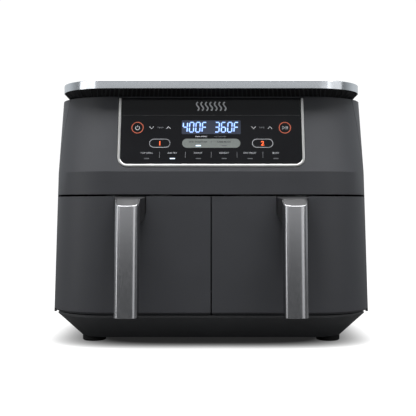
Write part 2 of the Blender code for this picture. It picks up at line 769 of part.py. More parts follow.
def switch_nub(x, extra=0.0):
    """The switch's plunger, through the liner's rear wall to the basket's rim."""
    wide, high = NUB_HALF
    centre = Vector((x + CAVITY_HALF * NUB_PLACE, 0, BASKET_TOP - BASKET_WALL - high))
    half = Vector((wide + extra, 0, high + extra))
    low, high = centre - half, centre + half
    return ((low.x, BASKET_BACK + CLEAR - extra, low.z), (high.x, CAVITY_REAR + CLEAR + extra, high.z))


def drawer_switch(number, x):
    """Micro switch behind the liner that tells that the drawer is home."""
    low, high = switch_nub(x)
    body = boxes(
        (
            (low[0] - SWITCH_SIDE, CAVITY_REAR + CLEAR, low[2] - SWITCH_LOW),
            (high[0] + SWITCH_SIDE, CAVITY_REAR + SWITCH_DEPTH, high[2] + SWITCH_HIGH),
        )
    )
    switch = from_bmesh(f"drawer_switch_{number}", body, black())
    nub = boxes((low, (high[0], high[1] + SWITCH_DEPTH / 4, high[2])))
    combine(switch, helper(f"add_switch_plunger_{number}", nub), "UNION")


def temperature_probe(number, x):
    """Sensor that hangs through the liner's roof, in a rear corner beside the dome."""
    profile = [
        (PROBE_RADIUS, CAVITY_ROOF - PROBE_TIP),
        (PROBE_RADIUS, CAVITY_ROOF + CLEAR),
        (2 * PROBE_RADIUS, CAVITY_ROOF + CLEAR),
        (2 * PROBE_RADIUS, CAVITY_ROOF + PROBE_TIP),
        (PROBE_RADIUS, CAVITY_ROOF + PROBE_TIP),
        (PROBE_RADIUS, CAVITY_ROOF + PROBE_STEM),
    ]
    from_bmesh(f"temperature_probe_{number}", turned(profile, probe_centre(x), 12), sheet_steel())


def fan_guard(number, x):
    """Slotted steel disc between the heating coil and the food."""
    profile = [(GUARD_RADIUS, GUARD_BOTTOM), (GUARD_RADIUS, GUARD_BOTTOM + SHEET)]
    guard = from_bmesh(f"fan_guard_{number}", turned(profile, (x, ZONE_Y)), sheet_steel())
    slots = bmesh.new()
    inner, outer = 0.35 * GUARD_RADIUS, 0.88 * GUARD_RADIUS
    narrow, wide = (width / 2 for width in GUARD_SLOT_WIDTHS)
    slot = [(inner, -narrow), (outer, -wide), (outer, wide), (inner, narrow)]
    for i in range(GUARD_SLOTS):
        turn = 2 * math.pi * i / GUARD_SLOTS
        spun = [
            (
                x + r * math.cos(turn) - s * math.sin(turn),
                ZONE_Y + r * math.sin(turn) + s * math.cos(turn),
            )
            for r, s in slot
        ]
        low = [slots.verts.new((*p, GUARD_BOTTOM - CUT)) for p in spun]
        high = [slots.verts.new((*p, GUARD_BOTTOM + CUT)) for p in spun]
        slots.faces.new(low)
        slots.faces.new(high)
        for a in range(4):
            b = (a + 1) % 4
            slots.faces.new((low[a], low[b], high[b], high[a]))
    combine(guard, helper(f"cut_guard_slots_{number}", slots))


def terminal_places(x):
    """Where the heating tube's two ends rise through the dome."""
    end = 2 * math.pi * ELEMENT_TURNS
    return [
        (x + ELEMENT_OUTER, ZONE_Y),
        (x + ELEMENT_INNER * math.cos(end), ZONE_Y + ELEMENT_INNER * math.sin(end)),
    ]


def heat_dome(number, x):
    """Upturned steel pan that holds the fan and the heating coil over the cavity."""
    wall, roof = DOME_WALL_RADIUS, DOME_TOP
    bore = SHAFT_RADIUS + 4 * SHAFT_CLEAR
    profile = [
        (DOME_RADIUS, DOME_BOTTOM),
        (DOME_RADIUS, DOME_BOTTOM + SHEET),
        (wall, DOME_BOTTOM + SHEET),
        (wall, roof - DOME_CHAMFER),
        (wall - DOME_CHAMFER, roof),
        (bore, roof),
        (bore, roof - SHEET),
        (wall - DOME_CHAMFER - SHEET / 2, roof - SHEET),
        (wall - SHEET, roof - DOME_CHAMFER - SHEET / 2),
        (wall - SHEET, DOME_BOTTOM),
    ]
    dome = turned(profile, (x, ZONE_Y), bored=True)
    dome = from_bmesh(f"heat_dome_{number}", dome, sheet_steel())
    for i, place in enumerate(terminal_places(x)):
        radius = ELEMENT_TUBE + TERMINAL_CLEAR
        hole = turned([(radius, roof - CUT / 2), (radius, roof + CUT)], place, 12)
        combine(dome, helper(f"cut_dome_terminal_{number}_{i}", hole))


def heating_element(number, x):
    """Tubular heater: an inward spiral whose two ends turn up through the dome."""
    start, end = terminal_places(x)
    rise = DECK_BOTTOM - TERMINAL_DROP
    bend = 3 * ELEMENT_TUBE
    leads = (rise, ELEMENT_Z + bend, ELEMENT_Z + 0.35 * bend)
    steps = int(22 * ELEMENT_TURNS)
    coil = []
    for i in range(1, steps):
        share = i / steps
        turn = 2 * math.pi * ELEMENT_TURNS * share
        radius = ELEMENT_OUTER + (ELEMENT_INNER - ELEMENT_OUTER) * share
        place = (x + radius * math.cos(turn), ZONE_Y + radius * math.sin(turn), ELEMENT_Z)
        coil.append(place)
    path = [*[(*start, z) for z in leads], *coil, *[(*end, z) for z in reversed(leads)]]
    curve = bpy.data.curves.new(f"heating_element_{number}", "CURVE")
    curve.dimensions = "3D"
    curve.bevel_depth = ELEMENT_TUBE
    curve.bevel_resolution = 2
    curve.use_fill_caps = True
    spline = curve.splines.new("POLY")
    spline.points.add(len(path) - 1)
    for point, place in zip(spline.points, path):
        point.co = (*place, 1.0)
    link(f"heating_element_{number}", curve, sheet_steel())


def bladed_wheel(name, x, z_low, radius, height, blades, finish):
    """A fan wheel: a disc with upright swept blades, bored for the shaft."""
    hub = 2.4 * SHAFT_RADIUS
    half_hub, half_tip = BLADE_ROOT * math.pi / blades, BLADE_WALL / radius
    outline = []
    for i in range(blades):
        turn = 2 * math.pi * i / blades
        for r, a in (
            (hub, turn - half_hub),
            (radius, turn + BLADE_SWEEP - half_tip),
            (radius, turn + BLADE_SWEEP + half_tip),
            (hub, turn + half_hub),
        ):
            outline.append((x + r * math.cos(a), ZONE_Y + r * math.sin(a)))
    z_high = z_low + height
    wheel = from_bmesh(name, prism(outline, z_low, z_high), finish)
    disc_radius = DISC_SHARE * radius
    profile = [(disc_radius, z_high - BLADE_WALL), (disc_radius, z_high + BLADE_WALL / 2)]
    combine(wheel, helper(f"add_{name}_disc", turned(profile, (x, ZONE_Y), 24)), "UNION")
    bore_radius = SHAFT_RADIUS + CLEAR
    bore = turned([(bore_radius, z_low - CUT), (bore_radius, z_high + CUT)], (x, ZONE_Y), 16)
    combine(wheel, helper(f"cut_{name}_bore", bore))


def spinning_parts(number, x):
    """Shaft with the convection fan below the dome's roof and the cooling fan on top."""
    bladed_wheel(
        f"convection_fan_{number}",
        x,
        FAN_TOP - FAN_HEIGHT,
        ELEMENT_INNER - ELEMENT_TUBE - FAN_CLEAR,
        FAN_HEIGHT,
        FAN_BLADES,
        sheet_steel(),
    )
    bladed_wheel(
        f"cooling_fan_{number}",
        x,
        COOLING_BOTTOM,
        COOLING_RADIUS,
        COOLING_HEIGHT,
        COOLING_BLADES,
        black(),
    )
    profile = [
        (SHAFT_RADIUS, FAN_TOP - FAN_HEIGHT - SHAFT_END),
        (SHAFT_RADIUS, COOLING_BOTTOM + COOLING_HEIGHT + SHAFT_END),
    ]
    from_bmesh(f"motor_shaft_{number}", turned(profile, (x, ZONE_Y), 16), sheet_steel())


def motor(number, x):
    """Shaded-pole style motor can on the deck, bored for its shaft."""
    bore = SHAFT_RADIUS + SHAFT_CLEAR
    roof = MOTOR_TOP - MOTOR_SHOULDER
    profile = [
        (MOTOR_RADIUS + MOTOR_FLANGE, MOTOR_BOTTOM),
        (MOTOR_RADIUS + MOTOR_FLANGE, MOTOR_BOTTOM + MOTOR_FLANGE_THICKNESS),
        (MOTOR_RADIUS, MOTOR_BOTTOM + MOTOR_FLANGE_THICKNESS),
        (MOTOR_RADIUS, roof - MOTOR_SHOULDER),
        (MOTOR_RADIUS - 2 * MOTOR_SHOULDER, roof),
        (MOTOR_BOSS, roof),
        (MOTOR_BOSS - MOTOR_FLANGE_THICKNESS, MOTOR_TOP),
        (bore, MOTOR_TOP),
        (bore, MOTOR_BOTTOM),
    ]
    from_bmesh(f"motor_{number}", turned(profile, (x, ZONE_Y), 28, bored=True), sheet_steel())


def motor_deck():
    """Steel deck above the domes that carries both motors and the power board."""
    edge = HALF - SIDE_DRAFT - WALL - DECK_MARGIN
    front, back = SEAM_Y - CUT, BACK - WALL - DECK_MARGIN
    outline = rounded(edge, front, back, DECK_CORNER, DECK_CORNER, 0.0, steps=3)
    deck = prism([(x, y) for x, y, _ in outline], DECK_BOTTOM, DECK_TOP)
    deck = from_bmesh("motor_deck", deck, sheet_steel())
    holes = bmesh.new()
    for x in (-ZONE_X, ZONE_X):
        place = Matrix.Translation((x, ZONE_Y, DECK_BOTTOM))
        radius = SHAFT_RADIUS + DECK_BORE_CLEAR
        bmesh.ops.create_cone(
            holes, cap_ends=True, segments=16, radius1=radius, radius2=radius, depth=CUT, matrix=place
        )
    combine(deck, helper("cut_deck_holes", holes))


def power_board():
    """Mains board between the motors: relays, a capacitor and a transformer on one plate."""
    low_z = DECK_TOP + POWER_BOARD_LIFT
    y_mid = REAR_SEAM_Y - POWER_BOARD_IN
    half_x = ZONE_X - MOTOR_RADIUS - MOTOR_FLANGE - POWER_BOARD_GAP
    half_y = POWER_BOARD_LENGTH / 2
    low = (-half_x, y_mid - half_y, low_z)
    high = (half_x, y_mid + half_y, low_z + BOARD_THICKNESS)
    board = from_bmesh("power_board", boxes((low, high)), circuit())
    top = low_z + BOARD_THICKNESS / 2
    parts = boxes(
        ((-half_x + 0.006, y_mid - 0.035, top), (-half_x + 0.030, y_mid - 0.010, top + 0.020)),
        ((half_x - 0.030, y_mid - 0.035, top), (half_x - 0.008, y_mid - 0.005, top + 0.016)),
        ((-0.012, y_mid + 0.008, top), (0.014, y_mid + 0.038, top + 0.024)),
    )
    combine(board, helper("add_power_parts", parts), "UNION")


# ---------------------------------------------------------------- drawers
def drawer_block(inset, z_low, z_high, *planes):
    """The body's shape between two heights on the right-hand side, moved inwards."""
    rings = [body_outline(z_low, inset), body_outline(z_high, inset)]
    return clip(loft(rings), *planes)


def sided(bm, side):
    return bm if side > 0 else mirrored(bm)


def drawer_front(number, side):
    """Hollow front that wraps round the corner, notched at the top for the handle's neck."""
    chamfered = [
        body_outline(DRAWER_BOTTOM, EDGE),
        body_outline(DRAWER_BOTTOM + EDGE),
        body_outline(DRAWER_TOP),
    ]
    block = clip(
        loft(chamfered),
        ((CENTRE_GAP / 2, 0, 0), (-1, 0, 0)),
        ((0, SEAM_Y - SIDE_SEAM, 0), (0, 1, 0)),
    )
    front = from_bmesh(f"drawer_front_{number}", sided(block, side), charcoal())
    hollow = drawer_block(
        WALL,
        DRAWER_BOTTOM + WALL,
        DRAWER_TOP - WALL,
        ((CENTRE_GAP / 2 + WALL, 0, 0), (-1, 0, 0)),
    )
    combine(front, helper(f"cut_drawer_inside_{number}", sided(hollow, side)))
    behind = drawer_block(
        WRAP_WALL,
        DRAWER_BOTTOM - CUT,
        DRAWER_TOP + CUT,
        ((-CUT, 0, 0), (-1, 0, 0)),
        ((0, FRONT + DRAWER_DEPTH, 0), (0, -1, 0)),
    )
    combine(front, helper(f"cut_drawer_behind_{number}", sided(behind, side)))
    half = NECK_WIDTH / 2 + NECK_GAP
    notch = boxes(
        (
            (HANDLE_X - half, FRONT - CUT, DRAWER_TOP - NECK_HEIGHT - NECK_GAP),
            (HANDLE_X + half, FRONT + DRAWER_DEPTH + CUT, DRAWER_TOP + CUT),
        )
    )
    combine(front, helper(f"cut_neck_notch_{number}", sided(notch, side)))


def drawer_panel(number, side):
    """Inner panel that closes the hollow front and carries basket and handle."""
    depth = FRONT + DRAWER_DEPTH
    slab = drawer_block(
        WALL + CLEAR,
        DRAWER_BOTTOM + WALL + CLEAR,
        DRAWER_TOP - WALL - CLEAR,
        ((CENTRE_GAP / 2 + WALL + CLEAR, 0, 0), (-1, 0, 0)),
        ((0, depth - PANEL_SLAB, 0), (0, -1, 0)),
        ((0, depth - CLEAR, 0), (0, 1, 0)),
    )
    from_bmesh(f"drawer_panel_{number}", sided(slab, side), black())


def basket_outline(z, inset=0.0, flange=0.0):
    """The basket's outline at height z. Only its sides and rear carry a flange."""
    lean = BASKET_DRAFT * (BASKET_TOP - z) / (BASKET_TOP - BASKET_FLOOR)
    move = inset + lean
    return rounded(
        BASKET_HALF - move + flange,
        BASKET_FRONT + inset,
        BASKET_BACK - BASKET_RIM - move + flange,
        BASKET_CORNER - inset,
        BASKET_CORNER - inset,
        z,
        steps=BASKET_STEPS,
    )


def basket(number, x):
    """Deep coated pan: tapered walls, rounded corners and a flat rim that rides the ledges."""
    rim_low = BASKET_TOP - BASKET_WALL
    rings = [
        basket_outline(BASKET_FLOOR, BASKET_FLOOR_ROUND),
        basket_outline(BASKET_FLOOR + BASKET_FLOOR_ROUND),
        basket_outline(rim_low),
        basket_outline(rim_low, 0, BASKET_RIM),
        basket_outline(BASKET_TOP, 0, BASKET_RIM),
        basket_outline(BASKET_TOP, BASKET_WALL),
        basket_outline(BASKET_FLOOR + BASKET_FLOOR_ROUND, BASKET_WALL),
        basket_outline(BASKET_FLOOR + BASKET_WALL, BASKET_FLOOR_ROUND + BASKET_WALL / 2),
    ]
    from_bmesh(f"basket_{number}", shift_x(loft(rings), x), nonstick())


def crisper_plate(number, x):
    """Perforated plate that lies over the basket's floor on silicone bumpers."""
    gap = BASKET_WALL + PLATE_GAP
    rings = [
        basket_outline(PLATE_BOTTOM, gap),
        [(px, py, PLATE_BOTTOM + PLATE_THICKNESS) for px, py, _ in basket_outline(PLATE_BOTTOM, gap)],
    ]
    plate = from_bmesh(f"crisper_plate_{number}", shift_x(loft(rings), x), nonstick())
    holes = bmesh.new()
    columns, rows = PLATE_HOLES
    half_x = BASKET_HALF - BASKET_CORNER
    half_y = (BASKET_BACK - BASKET_FRONT) / 2 - BASKET_CORNER
    for i in range(columns):
        for j in range(rows):
            px = x + half_x * (2 * i / (columns - 1) - 1) * 0.78
            py = ZONE_Y + half_y * (2 * j / (rows - 1) - 1) * 0.86
            bmesh.ops.create_cone(
                holes,
                cap_ends=True,
                segments=8,
                radius1=PLATE_HOLE_RADIUS,
                radius2=PLATE_HOLE_RADIUS,
                depth=CUT,
                matrix=Matrix.Translation((px, py, PLATE_BOTTOM)),
            )
    combine(plate, helper(f"cut_plate_holes_{number}", holes))
    foot = PLATE_BOTTOM - CLEAR - PLATE_LEG
    profile = [
        (BUMPER_RADIUS - BUMPER_EDGE, foot),
        (BUMPER_RADIUS, foot + BUMPER_EDGE),
        (BUMPER_RADIUS, PLATE_BOTTOM - CLEAR),
    ]
    front, rear = BASKET_FRONT + BASKET_CORNER, BASKET_BACK - BASKET_CORNER - BASKET_RIM
    for end, y in (("front", front), ("rear", rear)):
        for hand, dx in (("left", -half_x), ("right", half_x)):
            name = f"bumper_{number}_{end}_{hand}"
            from_bmesh(name, turned(profile, (x + dx, y), 12), rubber())


# ---------------------------------------------------------------- handles
def handle_reach(z):
    """How far the handle's front stands out from the drawers' lower edge, at height z."""
    return HANDLE_REACH - HANDLE_LEAN * (z - HANDLE_BOTTOM) / (HANDLE_TOP - HANDLE_BOTTOM)


def handle_point(x, back, z):
    """A point this far behind the handle's front."""
    return (x, FRONT - handle_reach(z) + back, z)


def head_height(back, drop=0.0):
    """Height of the sloping head of the handle, this far behind its front."""
    return HANDLE_TOP + HANDLE_SLOPE * back - drop


def handle_section(inset, steps=16):
    """Front and sides of the handle seen from above, as (x, back) points."""
    half = HANDLE_WIDTH / 2 - inset
    points = [(-half, HANDLE_THICKNESS)]
    for i in range(steps + 1):
        turn = math.pi * (1 - i / steps)
        across, along = math.cos(turn), math.sin(turn)
        x = half * math.copysign(abs(across) ** (2 / HANDLE_ROUND), across)
        back = inset + (HANDLE_CURVE - inset) * (1 - abs(along) ** (2 / HANDLE_ROUND))
        points.append((x, back))
    points.append((half, HANDLE_THICKNESS))
    return points


def handle_prism(section, bottom, drop, x):
    """The handle's section from a level foot to the sloping head, lowered by drop."""
    low = [handle_point(px + x, back, bottom) for px, back in section]
    high = [handle_point(px + x, back, head_height(back, drop)) for px, back in section]
    return loft([low, high])


def handle_cover(number, x):
    """Brushed steel channel bent round the front and sides of the grip."""
    rings = []
    for (ox, ob), (ix, ib) in zip(handle_section(0.0), handle_section(COVER_WALL)):
        rings.append(
            [
                handle_point(ox + x, ob, HANDLE_BOTTOM),
                handle_point(ox + x, ob, head_height(ob)),
                handle_point(ix + x, ib, head_height(ib)),
                handle_point(ix + x, ib, HANDLE_BOTTOM),
            ]
        )
    from_bmesh(f"handle_cover_{number}", loft(rings), brushed())


def handle_cap(number, x):
    """Grey cap that closes the sloping head inside the steel cover."""
    section = handle_section(COVER_WALL + CLEAR)
    low = [handle_point(px + x, b, head_height(b, CAP_THICKNESS)) for px, b in section]
    high = [handle_point(px + x, b, head_height(b, CLEAR)) for px, b in section]
    from_bmesh(f"handle_cap_{number}", loft([low, high]), material("grey_cap", (0.2, 0.2, 0.2), 0.5))


def handle_core(number, x):
    """Black grip inside the cover, with the neck that passes into the drawer front."""
    drop = CAP_THICKNESS + CLEAR
    grip = handle_prism(handle_section(COVER_WALL + CLEAR), HANDLE_BOTTOM + COVER_WALL, drop, x)
    core = from_bmesh(f"handle_core_{number}", grip, black())
    head = head_height(HANDLE_THICKNESS)
    grip_back = FRONT - handle_reach(head) + HANDLE_THICKNESS
    neck_low = DRAWER_TOP - NECK_HEIGHT
    behind = FRONT + DRAWER_DEPTH - PANEL_SLAB - CLEAR
    front_face = FRONT + front_inset(DRAWER_TOP)
    side_view = [
        (behind, neck_low),
        (front_face, neck_low),
        (grip_back + NECK_SINK / 2, neck_low - NECK_GUSSET),
        (grip_back - NECK_SINK, neck_low - NECK_GUSSET),
        (grip_back - NECK_SINK, head - NECK_STEP),
        (grip_back + CLEAR, head - NECK_STEP),
        (grip_back + CLEAR, head),
        (front_face, DRAWER_TOP - CLEAR),
        (behind, DRAWER_TOP - CLEAR),
    ]
    half = NECK_WIDTH / 2
    rings = [[(x + s * half, y, z) for y, z in side_view] for s in (-1, 1)]
    neck = helper(f"add_neck_{number}", loft(rings))
    narrow = HANDLE_WIDTH / 2 - COVER_WALL - CLEAR
    taper_start = (front_face + grip_back) / 2
    plan = [
        (half, behind - CLEAR),
        (half, behind + CUT),
        (-half, behind + CUT),
        (-half, taper_start),
        (-narrow, grip_back + CLEAR),
        (-narrow, grip_back - CUT),
        (narrow, grip_back - CUT),
        (narrow, grip_back + CLEAR),
        (half, taper_start),
    ]
    plan = [(x + px, py) for px, py in plan]
    taper = helper(f"cut_neck_taper_{number}", prism(plan, neck_low - CUT - NECK_GUSSET, DRAWER_TOP + CUT))
    combine(neck, taper, "INTERSECT")
    combine(core, neck, "UNION")


# ---------------------------------------------------------------- the whole object
def zone(number, side):
    x = side * ZONE_X
    cavity_liner(number, x)
    drawer_switch(number, x)
    temperature_probe(number, x)
    fan_guard(number, x)
    heat_dome(number, x)
    heating_element(number, x)
    spinning_parts(number, x)
    motor(number, x)
    drawer_front(number, side)
    drawer_panel(number, side)
    basket(number, x)
    crisper_plate(number, x)
    handle_cover(number, side * HANDLE_X)
    handle_cap(number, side * HANDLE_X)
    handle_core(number, side * HANDLE_X)


def main():
    clear_scene()
    base_pan()
    feet()
    front_fascia()
    side_panels()
    rear_cover()
    cord_gland()
    louvre_ring()
    lid()
    control_panel()
    motor_deck()
    power_board()
    zone(1, -1)
    zone(2, 1)


main()
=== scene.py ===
# %% [markdown]
# # A two-zone drawer air fryer
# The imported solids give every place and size. This lesson dresses them: it rounds the edges that a
# mould or a press would round, adds the vanes, printed marks, lamps and screws that are too fine for
# the solids, presses finer baskets, and gives each piece a finish made of shader nodes.

# %% The frame
import json
import math

import bmesh
import bpy
from mathutils import Matrix, Vector


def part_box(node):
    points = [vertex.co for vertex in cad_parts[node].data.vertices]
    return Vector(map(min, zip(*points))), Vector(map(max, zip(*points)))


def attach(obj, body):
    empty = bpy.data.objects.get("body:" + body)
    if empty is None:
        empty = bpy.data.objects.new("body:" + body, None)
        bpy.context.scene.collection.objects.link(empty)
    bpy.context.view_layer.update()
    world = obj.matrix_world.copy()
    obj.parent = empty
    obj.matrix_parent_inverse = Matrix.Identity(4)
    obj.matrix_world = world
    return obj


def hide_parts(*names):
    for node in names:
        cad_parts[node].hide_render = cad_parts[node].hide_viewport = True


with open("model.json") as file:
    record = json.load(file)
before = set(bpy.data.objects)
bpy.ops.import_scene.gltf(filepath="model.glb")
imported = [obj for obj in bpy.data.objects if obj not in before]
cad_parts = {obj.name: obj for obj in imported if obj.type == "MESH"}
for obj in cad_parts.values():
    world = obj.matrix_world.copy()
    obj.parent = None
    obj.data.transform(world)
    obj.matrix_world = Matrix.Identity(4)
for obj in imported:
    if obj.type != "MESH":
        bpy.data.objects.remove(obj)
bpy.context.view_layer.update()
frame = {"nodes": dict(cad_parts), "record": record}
nodes = frame["nodes"]
MM = 0.001
scene = bpy.context.scene

# %% [markdown]
# ## Camera
# The appliance is seen straight from the front, about level with its middle, from just under a metre
# away. A level camera keeps the upright edges parallel. The stand-off is counted from the drawer
# fronts, because they are the plane that fills most of the picture. A small lens shift moves the
# frame sideways and down without turning the camera.

# %% Camera
FOCAL_MM = 70.5
STAND_OFF = 0.955
EYE_HEIGHT = 0.1666
LENS_SHIFT = (-0.0077, -0.0053)  # as a share of the frame's width
front_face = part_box("drawer_front_1")[0].y
camera_data = bpy.data.cameras.new("camera")
camera_data.lens = FOCAL_MM
camera_data.sensor_width = 36.0
camera_data.shift_x, camera_data.shift_y = LENS_SHIFT
camera = bpy.data.objects.new("camera", camera_data)
camera.location = (0.0, front_face - STAND_OFF, EYE_HEIGHT)
camera.rotation_euler = (math.pi / 2, 0.0, 0.0)
scene.collection.objects.link(camera)
scene.camera = camera
print("camera", [round(v, 3) for v in camera.location])

# %% [markdown]
# ## Helpers for shader nodes
# Colours are written as the hex codes a designer would pick on a screen, but a shader wants linear
# light, so one function converts them. Another adds any node with its settings and links, which keeps
# each material down to the lines that say what the finish is.

# %% Colour and nodes
def linear(code):
    """An sRGB hex colour as the linear values that a shader takes."""
    parts = [int(code[i : i + 2], 16) / 255 for i in (1, 3, 5)]
    return tuple(c / 12.92 if c <= 0.04045 else ((c + 0.055) / 1.055) ** 2.4 for c in parts)


def add(tree, kind, links=(), **settings):
    """Adds one shader node. Plain names set its options, and links are (input, source socket or value)."""
    made = tree.nodes.new(kind)
    for name, value in settings.items():
        setattr(made, name, value)
    for name, source in links:
        if isinstance(source, bpy.types.NodeSocket):
            tree.links.new(source, made.inputs[name])
        else:
            made.inputs[name].default_value = source
    return made


def start_material(name):
    """An empty material, its node tree, and Object coordinates to hang patterns on."""
    made = bpy.data.materials.new(name)
    made.use_nodes = True
    tree = made.node_tree
    tree.nodes.clear()
    return made, tree, add(tree, "ShaderNodeTexCoord").outputs["Object"]


def principled(tree, links):
    """The main shader, wired to the material's output."""
    shader = add(tree, "ShaderNodeBsdfPrincipled", links)
    add(tree, "ShaderNodeOutputMaterial", [("Surface", shader.outputs["BSDF"])])
    return shader


NOISE_SPAN = (0.3, 0.7)  # a noise gives 0 to 1, but nearly all of it lies between these


def varied(tree, source, low, high):
    """A pattern's value turned into a number between low and high."""
    ends = [("From Min", NOISE_SPAN[0]), ("From Max", NOISE_SPAN[1]), ("To Min", low), ("To Max", high)]
    return add(tree, "ShaderNodeMapRange", [("Value", source), *ends]).outputs["Result"]


def tinted(tree, source, colour, spread):
    """A colour that a pattern makes a little darker here and lighter there."""
    scale = varied(tree, source, 1.0 - spread, 1.0 + spread)
    made = add(tree, "ShaderNodeVectorMath", [("Scale", scale)], operation="SCALE")
    made.inputs[0].default_value = linear(colour)
    return made.outputs["Vector"]


print("white as linear", linear("#ffffff"))

# %% [markdown]
# ## Light table and lamps
# For cut-out pictures a product stands on a sheet of opal acrylic that is lit from below. Here only
# the camera sees the table's glow, so it lights nothing. The glow is almost off under the object and
# full further out. This paints a short contact shadow round the footprint, and the rest goes white.
# Steel only looks like steel when it has something to reflect: a big lamp hangs overhead, two stand
# at each side, a long strip is far in front, and the room is dim in front and light behind.

# %% Room, table and lamps
# These shape the contact shadow that the table's glow paints round the footprint.
SHADOW_REACH = (0.208, 0.134, 1.0)  # half of the contact shadow's width and depth; the table has no height
SHADOW_CORE = 0.40  # share of the shadow's area that is fully dark
SHADOW_FADE = 1.5  # power of the glow's rise: above 1 it starts slowly
SHADOW_GLOW = 0.02  # the table's glow in the fully dark part
ROOM_FRONT = 0.28  # the room's brightness in front, from ROOM_RISE upwards
ROOM_LOW = 0.10  # in front, level and downwards
ROOM_BACK = 0.7  # behind
ROOM_RISE = 0.6  # Z of a direction, as a share of its length
ROOM_TURN = (-0.3, 0.5)  # Y of a direction where the front ends, and where the back starts


def opal_table():
    # Opal acrylic, drawn as a matt grey sheet. Its white glow is for the camera only, so it doesn't light
    # the object. The glow fades in over a short way round the footprint, which paints the contact shadow,
    # and the grey sheet's own lamp-lit shade adds a little to it. The painted shadow is a rectangle with
    # very round corners: the curve where x to the fourth plus y to the fourth is 1.
    made, tree, where = start_material("light_table_glow_with_painted_shadow")
    shares = add(tree, "ShaderNodeVectorMath", [(0, where), (1, SHADOW_REACH)], operation="DIVIDE")
    share = shares.outputs["Vector"]
    squares = add(tree, "ShaderNodeVectorMath", [(0, share), (1, share)], operation="MULTIPLY")
    square = squares.outputs["Vector"]
    area = add(tree, "ShaderNodeVectorMath", [(0, square)], operation="LENGTH").outputs["Value"]
    # Painted contact shadow: the glow stays at SHADOW_GLOW inside SHADOW_CORE and rises to full further out.
    rise = add(tree, "ShaderNodeMapRange", [("Value", area), ("From Min", SHADOW_CORE)]).outputs["Result"]
    curve = add(tree, "ShaderNodeMath", [(0, rise), (1, SHADOW_FADE)], operation="POWER").outputs["Value"]
    glow = add(tree, "ShaderNodeMapRange", [("Value", curve), ("To Min", SHADOW_GLOW)]).outputs["Result"]
    seen = add(tree, "ShaderNodeLightPath").outputs["Is Camera Ray"]
    strength = add(tree, "ShaderNodeMath", [(0, glow), (1, seen)], operation="MULTIPLY").outputs["Value"]
    shader = principled(tree, [("Base Color", (*linear("#505050"), 1.0)), ("Roughness", 0.8)])
    shader.inputs["Specular IOR Level"].default_value = 0.1
    shader.inputs["Emission Color"].default_value = (1.0, 1.0, 1.0, 1.0)
    tree.links.new(strength, shader.inputs["Emission Strength"])
    return made


def studio_room():
    """A room that is dim in front of the object and light behind it, and white to the camera itself."""
    world = bpy.data.worlds.new("studio_room")
    world.use_nodes = True
    tree = world.node_tree
    tree.nodes.clear()
    where = add(tree, "ShaderNodeTexCoord").outputs["Generated"]
    axes = add(tree, "ShaderNodeSeparateXYZ", [("Vector", where)])
    heights = [("From Max", ROOM_RISE), ("To Min", ROOM_LOW), ("To Max", ROOM_FRONT)]
    front = add(tree, "ShaderNodeMapRange", [("Value", axes.outputs["Z"]), *heights]).outputs["Result"]
    turns = [("From Min", ROOM_TURN[0]), ("From Max", ROOM_TURN[1]), ("To Min", front), ("To Max", ROOM_BACK)]
    level = add(tree, "ShaderNodeMapRange", [("Value", axes.outputs["Y"]), *turns]).outputs["Result"]
    room = add(tree, "ShaderNodeBackground", [("Strength", level)])
    room.inputs["Color"].default_value = (0.94, 0.98, 1.0, 1.0)
    backdrop = add(tree, "ShaderNodeBackground", [("Color", (1.0, 1.0, 1.0, 1.0)), ("Strength", 1.05)])
    seen = add(tree, "ShaderNodeLightPath").outputs["Is Camera Ray"]
    mix = add(tree, "ShaderNodeMixShader", [("Fac", seen), (1, room.outputs[0]), (2, backdrop.outputs[0])])
    add(tree, "ShaderNodeOutputWorld", [("Surface", mix.outputs[0])])
    return world


def soft_lamp(name, place, aim, size, power):
    """A rectangular area lamp that looks at a point."""
    data = bpy.data.lights.new(name, "AREA")
    data.shape = "RECTANGLE"
    data.size, data.size_y = size
    data.energy = power
    lamp = bpy.data.objects.new(name, data)
    lamp.location = place
    lamp.rotation_euler = (Vector(aim) - Vector(place)).to_track_quat("-Z", "Y").to_euler()
    scene.collection.objects.link(lamp)


scene.view_settings.view_transform = "Standard"
scene.world = studio_room()
table_bm = bmesh.new()
bmesh.ops.create_grid(table_bm, x_segments=1, y_segments=1, size=6.0)
table_mesh = bpy.data.meshes.new("light_table")
table_bm.to_mesh(table_mesh)
table_bm.free()
table_mesh.materials.append(opal_table())
table = bpy.data.objects.new("light_table", table_mesh)
scene.collection.objects.link(table)

MIDDLE = (0.0, 0.0, 0.17)  # what the lamps look at
soft_lamp("overhead", (0.0, -0.25, 1.55), (0.0, -0.25, 0.0), (2.0, 1.1), 78.0)
soft_lamp("left_side", (-1.30, -0.85, 0.70), MIDDLE, (1.0, 0.6), 2.8)
soft_lamp("right_side", (1.30, -0.85, 0.70), MIDDLE, (1.0, 0.6), 1.8)
soft_lamp("right_low", (1.05, -1.38, 0.25), MIDDLE, (0.75, 0.5), 0.85)
soft_lamp("left_low", (-1.45, -0.55, 0.25), MIDDLE, (0.35, 0.5), 1.0)
soft_lamp("front_strip", (0.0, -2.6, 0.75), MIDDLE, (5.2, 0.35), 3.6)

# %% [markdown]
# ## Moulded plastic
# The shell is ABS, injection moulded in a tool whose surface was spark-eroded to a fine satin grain.
# The grain is finer than the picture can show, so it is drawn a little coarser, and it mostly shows
# as a soft, slightly uneven sheen. Two noises do this: one bends the surface, one changes its gloss
# and its tone.

# %% Moulded plastics
PATCH_MM = 28.6  # size of the patches in the sheen


